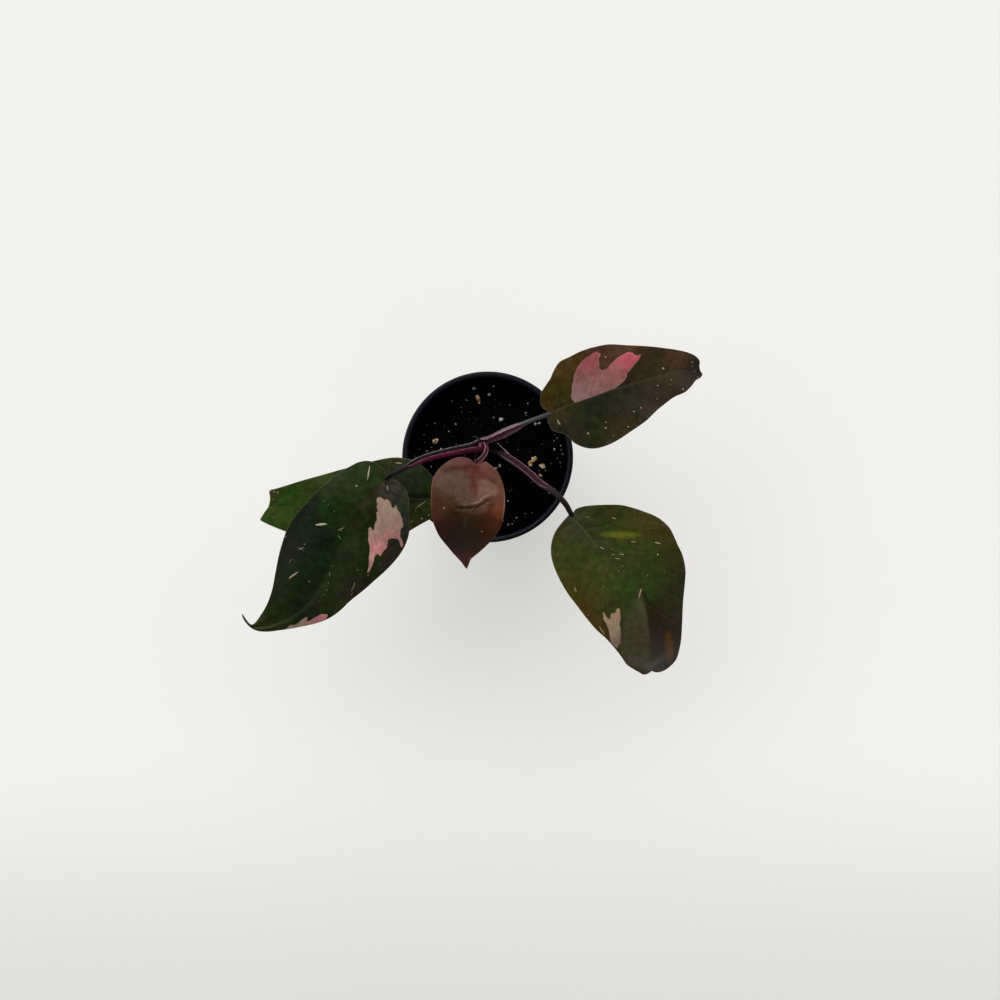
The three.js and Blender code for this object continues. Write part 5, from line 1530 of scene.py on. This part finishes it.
CHANNEL_HALF = [
    [0, -0.24, 1, 0, 0], [0.22, -0.17, 0.85, 0.15, 0], [0.48, 0.06, 0.15, 0.85, 0], [0.74, 0.48, 0, 0.8, 0.2],
    [0.9, 0.64, 0, 0, 1], [1.0, 0.5, 0, 0, 0.8], [1.02, 0.05, 0, 0, 0], [0.86, -0.42, 0, 0, 0],
    [0.5, -0.82, 0, 0, 0], [0, -0.95, 0, 0, 0],
]
ROUND_HALF = [
    [0, 0.83], [0.2, 0.85], [0.42, 0.82], [0.62, 0.74], [0.76, 0.62],
    [0.87, 0.5], [1.0, 0.05], [0.86, -0.48], [0.5, -0.86], [0, -1.0],
]


def smooth_ring(places, steps=3):
    """A closed smooth ring through the places."""
    ring = []
    for i in range(len(places)):
        before, start, end, after = (places[(i + k) % len(places)] for k in (-1, 0, 1, 2))
        for w in np.linspace(0, 1, steps, endpoint=False):
            ring.append(cubic(start, end, (end - before) / 2, (after - start) / 2, w))
    return np.array(ring)


CHANNEL, ROUND = smooth_ring(mirrored(CHANNEL_HALF)), smooth_ring(mirrored(ROUND_HALF))
print("stalk sections have", len(CHANNEL), "points")

# %% Stalk places and colours
# from: height on the stem. via: the places passed. sheath: share that is channelled, and fade, how fast
# it closes. closed: how far the channel is closed all along. width: half width at each share. roll:
# degrees that the channel turns to its right. beside: mm to the right of the notch where it meets the
# blade. lead: mm of straight run before that. skin: colour at each share. lip, wall and floor: colours of
# the channel, which begin between the two shares of opens. right_lip: where that one is of another colour.
# The floor's darker colour is painted shade in the channel's hollow, and the pale lips are partly a
# painted highlight.
STALKS = {
    "petiole_right": {
        "blade": "blade_right", "from": 92.8, "beside": 1.3,
        "via": [(-2.2, 10.2, 95.6), (0.4, 10.6, 98.6), (5.9, 12.5, 104), (14.3, 15.8, 113.5),
                (20.8, 18.3, 119.5), (27.5, 20.7, 126.5)],
        "sheath": 0.6, "fade": 0.05, "closed": 0.05, "roll": 52,
        "width": [(0, 2.2), (0.15, 2.3), (0.35, 2.75), (0.5, 2.4), (0.6, 1.7), (0.68, 1.35), (1, 1.3)],
        "skin": [(0, (104, 88, 96)), (0.5, (112, 100, 110)), (0.62, (92, 88, 94)), (0.8, (80, 82, 84)),
                 (1, (70, 72, 70))],
        "lip": (146, 124, 134), "wall": (126, 78, 96), "floor": (116, 66, 84),
    },
    "petiole_front_right": {
        "blade": "blade_front_right", "from": 87.5,
        "via": [(2, 4.2, 91), (8, 1.7, 96), (15.4, -2.8, 101), (21.5, -7.3, 106), (27.8, -12.9, 111),
                (32.8, -17.5, 115), (39.2, -21.5, 119), (43.8, -25.8, 121.5), (47.4, -29.9, 122.8)],
        "sheath": 0.66, "fade": 0.07, "closed": 0.05, "roll": -26, "opens": (0.18, 0.24),
        "width": [(0, 1.9), (0.1, 1.4), (0.19, 1.7), (0.25, 2.2), (0.34, 2.25), (0.5, 2.1), (0.74, 1.95),
                  (0.84, 1.75), (1, 1.4)],
        # painted shade: the skin is darkest near the stem, where this stalk runs under the newest stalk
        "skin": [(0, (34, 16, 27)), (0.16, (40, 22, 33)), (0.26, (76, 56, 68)), (0.5, (76, 54, 65)),
                 (0.64, (58, 40, 48)), (0.78, (38, 27, 30)), (1, (27, 24, 22))],
        "lip": (146, 120, 130), "wall": (84, 32, 50), "floor": (44, 4, 16), "right_lip": (124, 100, 110),
    },
    "petiole_new": {
        "blade": "blade_new", "from": STEM_TOP + 0.3,
        "via": [(-1.9, 7.3, 112), (-0.8, 5.2, 124), (-0.4, 2.5, 134), (-1.2, -0.5, 142.5), (-3, -3.3, 148.5),
                (-4.4, -4.9, 151.2)],
        "sheath": 0.97, "fade": 0.03, "closed": 0.05, "roll": 0, "lead": 0.4,
        "width": [(0, 1.25), (0.1, 1.15), (0.3, 1.15), (0.7, 1.3), (0.9, 1.35), (1, 1.2)],
        "skin": [(0, (92, 36, 58)), (0.3, (96, 44, 62)), (0.6, (100, 58, 72)), (1, (100, 52, 60))],
        "lip": (148, 116, 124), "wall": (92, 42, 58), "floor": (64, 14, 30),
    },
    "petiole_front_left": {
        "blade": "blade_front_left", "from": 90.5,
        "via": [(-5.4, 6.4, 94.5), (-14.7, 4.4, 99), (-24.3, 2.2, 105.5), (-33.8, -0.4, 111.5),
                (-40.8, -3.1, 116), (-46.5, -6.3, 120.5), (-52.1, -9.3, 125.5), (-55.9, -11.6, 129)],
        "sheath": 0.74, "fade": 0.035, "closed": 0.0, "roll": 40,
        "width": [(0, 4.2), (0.06, 4.0), (0.14, 3.2), (0.25, 2.9), (0.42, 2.55), (0.65, 2.2), (0.74, 1.7),
                  (0.79, 1.5), (1, 1.3)],
        "skin": [(0, (92, 40, 60)), (0.15, (118, 36, 68)), (0.35, (132, 36, 76)), (0.68, (122, 40, 74)),
                 (0.77, (26, 20, 23)), (1, (9, 8, 8))],
        # painted shade: this channel's walls and floor are near black, for the shadow inside it
        "lip": (140, 78, 102), "wall": (9, 3, 6), "floor": (5, 2, 3), "right_lip": (150, 134, 140),
    },
    "petiole_left": {
        "blade": "blade_left", "from": 84.5, "via": [(-10, -8, 92), (-16, -20, 98.5), (-21.4, -26.2, 102.8)],
        "sheath": 0.6, "fade": 0.12, "closed": 0.1, "roll": 0,
        "width": [(0, 2.3), (0.6, 1.8), (0.74, 1.4), (1, 1.4)],
        "skin": [(0, (26, 14, 18)), (0.45, (34, 20, 26)), (0.7, (72, 44, 50)), (1, (44, 44, 36))],
        "lip": (60, 44, 50), "wall": (34, 16, 24), "floor": (20, 8, 12),
    },
}
STALK_RINGS, STALK_LEAD, STALK_GAP = 140, 1.6, 0.45
STALK_DROP = 0.4       # how far the middle of the stalk's end lies under the blade's base
KEEL_REACH, KEEL_DROP = 3.5, 1.3      # how far the stalk runs on into the blade's keel, and how deep


# %% Stalk finish
def stalk_finish():
    material, tree, shader = new_finish("stalk_skin", roughness=0.4, gloss=0.2)
    rib = carried(tree, "rib", "Vector")
    streaks = mottle(tree, (0.35, 7.0, 3.0), rib)
    fine = mottle(tree, (0.6, 22.0, 9.0), rib, detail=2.0)
    dots = ramp(tree, cells(tree, 900), 0.06, 0.16, 0.25, 0.0)
    skin = toned(tree, carried(tree, "tint", "Color"), ramp(tree, streaks, 0.32, 0.68), 0.3, (1, 1.15, 1.1))
    skin = toned(tree, skin, ramp(tree, fine, 0.35, 0.65), 0.28, (1, 1.1, 1.1))
    skin = blend(tree, ramp(tree, fine, 0.58, 0.7, 0.0, 0.6), skin, (1.6, 1.9, 1.8, 1.0), "MULTIPLY")
    feed(tree, shader.inputs["Base Color"], blend(tree, dots, skin, (2.0, 2.4, 2.2, 1.0), "MULTIPLY"))
    relief(tree, shader, streaks, depth=0.12, strength=0.6)
    return material


# %% Lines and colours of a stalk
def stalk_run(stalk):
    """The stalk's line from the stem to the keel of its blade, and the side that faces the blade's left."""
    blade = BLADES[stalk["blade"]]
    centre, tangent, right, normal = bent(blade, np.array([-STALK_GAP, 0.0, KEEL_REACH]))
    end = centre[0] - STALK_DROP * normal[0] + stalk.get("beside", 0) * right
    lead = end - stalk.get("lead", STALK_LEAD) * tangent[0]
    under = centre[2] - KEEL_DROP * normal[2]
    return stalk_line([(STEM_X, STEM_Y, stalk["from"]), *stalk["via"], lead, end, under]), -right


def stalk_tints(stalk, shares, roundness):
    """The colour of each point of each ring: skin outside, and floor, walls and lips in the channel, the floor
    darker as painted shade and the lips pale partly as a painted highlight.
    """
    skin = np.array([paint(*colour) for _, colour in stalk["skin"]])
    stops = [share for share, _ in stalk["skin"]]
    skin = np.stack([np.interp(shares, stops, skin[:, k]) for k in range(4)], -1)
    left_colours = np.array([paint(*stalk[part]) for part in ("floor", "wall", "lip")])
    right_colours = np.array([*left_colours[:2], paint(*stalk.get("right_lip", stalk["lip"]))])
    opened = smoothstep(shares, *stalk.get("opens", (-1, -0.5))) * (1 - smoothstep(roundness, 0.5, 1))
    shown = np.clip(CHANNEL[:, 2:5], 0, 1) * opened[:, None, None]
    channel = np.where(CHANNEL[:, :1] > 0, shown @ left_colours, shown @ right_colours)
    return channel + skin[:, None] * (1 - shown.sum(2, keepdims=True))


# %% Make the stalks
def with_ends(rings):
    """One row for each point of a loft, and two more for the middles of its ends."""
    rows = rings.reshape(-1, rings.shape[-1])
    return np.concatenate([rows, rows[[0, -1]]])


def make_stalk(name, stalk, finish):
    line, facing = stalk_run(stalk)
    shares = np.linspace(0, 1, STALK_RINGS)
    half_width = np.interp(shares, *zip(*stalk["width"])) * (1 - 0.45 * smoothstep(shares, 0.965, 1))
    sheath, fade = stalk["sheath"], stalk["fade"]
    roundness = np.maximum(stalk["closed"], smoothstep(shares, sheath - fade, sheath + fade))
    roll = radians(stalk["roll"]) * smoothstep(shares, -0.05, 0.12)
    roll = roll * (1 - smoothstep(shares, sheath, sheath + 0.2))
    sections, ribs = [], []
    for k in range(STALK_RINGS):
        section = CHANNEL[:, :2] * (1 - roundness[k]) + ROUND * roundness[k]
        ragged = 1 + 0.05 * np.clip(CHANNEL[:, 4], 0, 1) * sin(k * 0.9)      # the lips are a little uneven
        across, rise = section[:, 0] * half_width[k], section[:, 1] * half_width[k] * ragged
        c, s = cos(roll[k]), sin(roll[k])
        sections.append((across * c - rise * s, across * s + rise * c))
        ribs.append(np.column_stack([np.full(len(section), k * 0.7), section]))
    points, faces = strand(line, facing, sections)
    values = {"tint": with_ends(stalk_tints(stalk, shares, roundness)), "rib": with_ends(np.array(ribs))}
    piece = make_piece(name.replace("petiole", "stalk"), points, faces, [finish], carried=values)
    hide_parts(name)
    print(f"{piece.name}: {np.linalg.norm(np.diff(line, axis=0), axis=1).sum():.0f} mm long")


stalk_skin = stalk_finish()
for name, stalk in STALKS.items():
    make_stalk(name, stalk, stalk_skin)

# %% [markdown]
# ## The free point of a lip
# The sheath of the front right stalk ends in a thin pale point, where its lip has torn free of the stem.
# It could be pulled out of the stalk's own mesh, but the sections would pinch there. So it is a small
# flat strand of its own that starts inside the lip and thins toward the stem.

# %% Make the point
POINT_LINE = [(13.8, 1.0, 98.4), (9.8, 4.9, 99.0), (6.05, 8.4, 98.8)]
POINT_RINGS, POINT_SIDES, POINT_HALF, POINT_FLATNESS = 20, 12, 0.72, 0.6
point_shares = np.linspace(0, 1, POINT_RINGS)
tapers = POINT_HALF * (0.32 + 0.68 * (1 - point_shares) ** 2.2) * smoothstep(point_shares, -0.12, 0.2)
angles = np.linspace(0, 2 * pi, POINT_SIDES, endpoint=False)
point_sections = [(taper * np.cos(angles), POINT_FLATNESS * taper * np.sin(angles)) for taper in tapers]
point_points, point_faces = strand(stalk_line(POINT_LINE), (0.7, 0.7, 0), point_sections)
point_values = {"tint": np.tile(paint(156, 134, 142), (len(point_points), 1)),
                "rib": np.tile((0.0, 0.9, 0.6), (len(point_points), 1))}
make_piece("stalk_lip_point", point_points, point_faces, [stalk_skin], carried=point_values)
print("lip point:", POINT_RINGS, "rings,", len(point_faces), "faces")
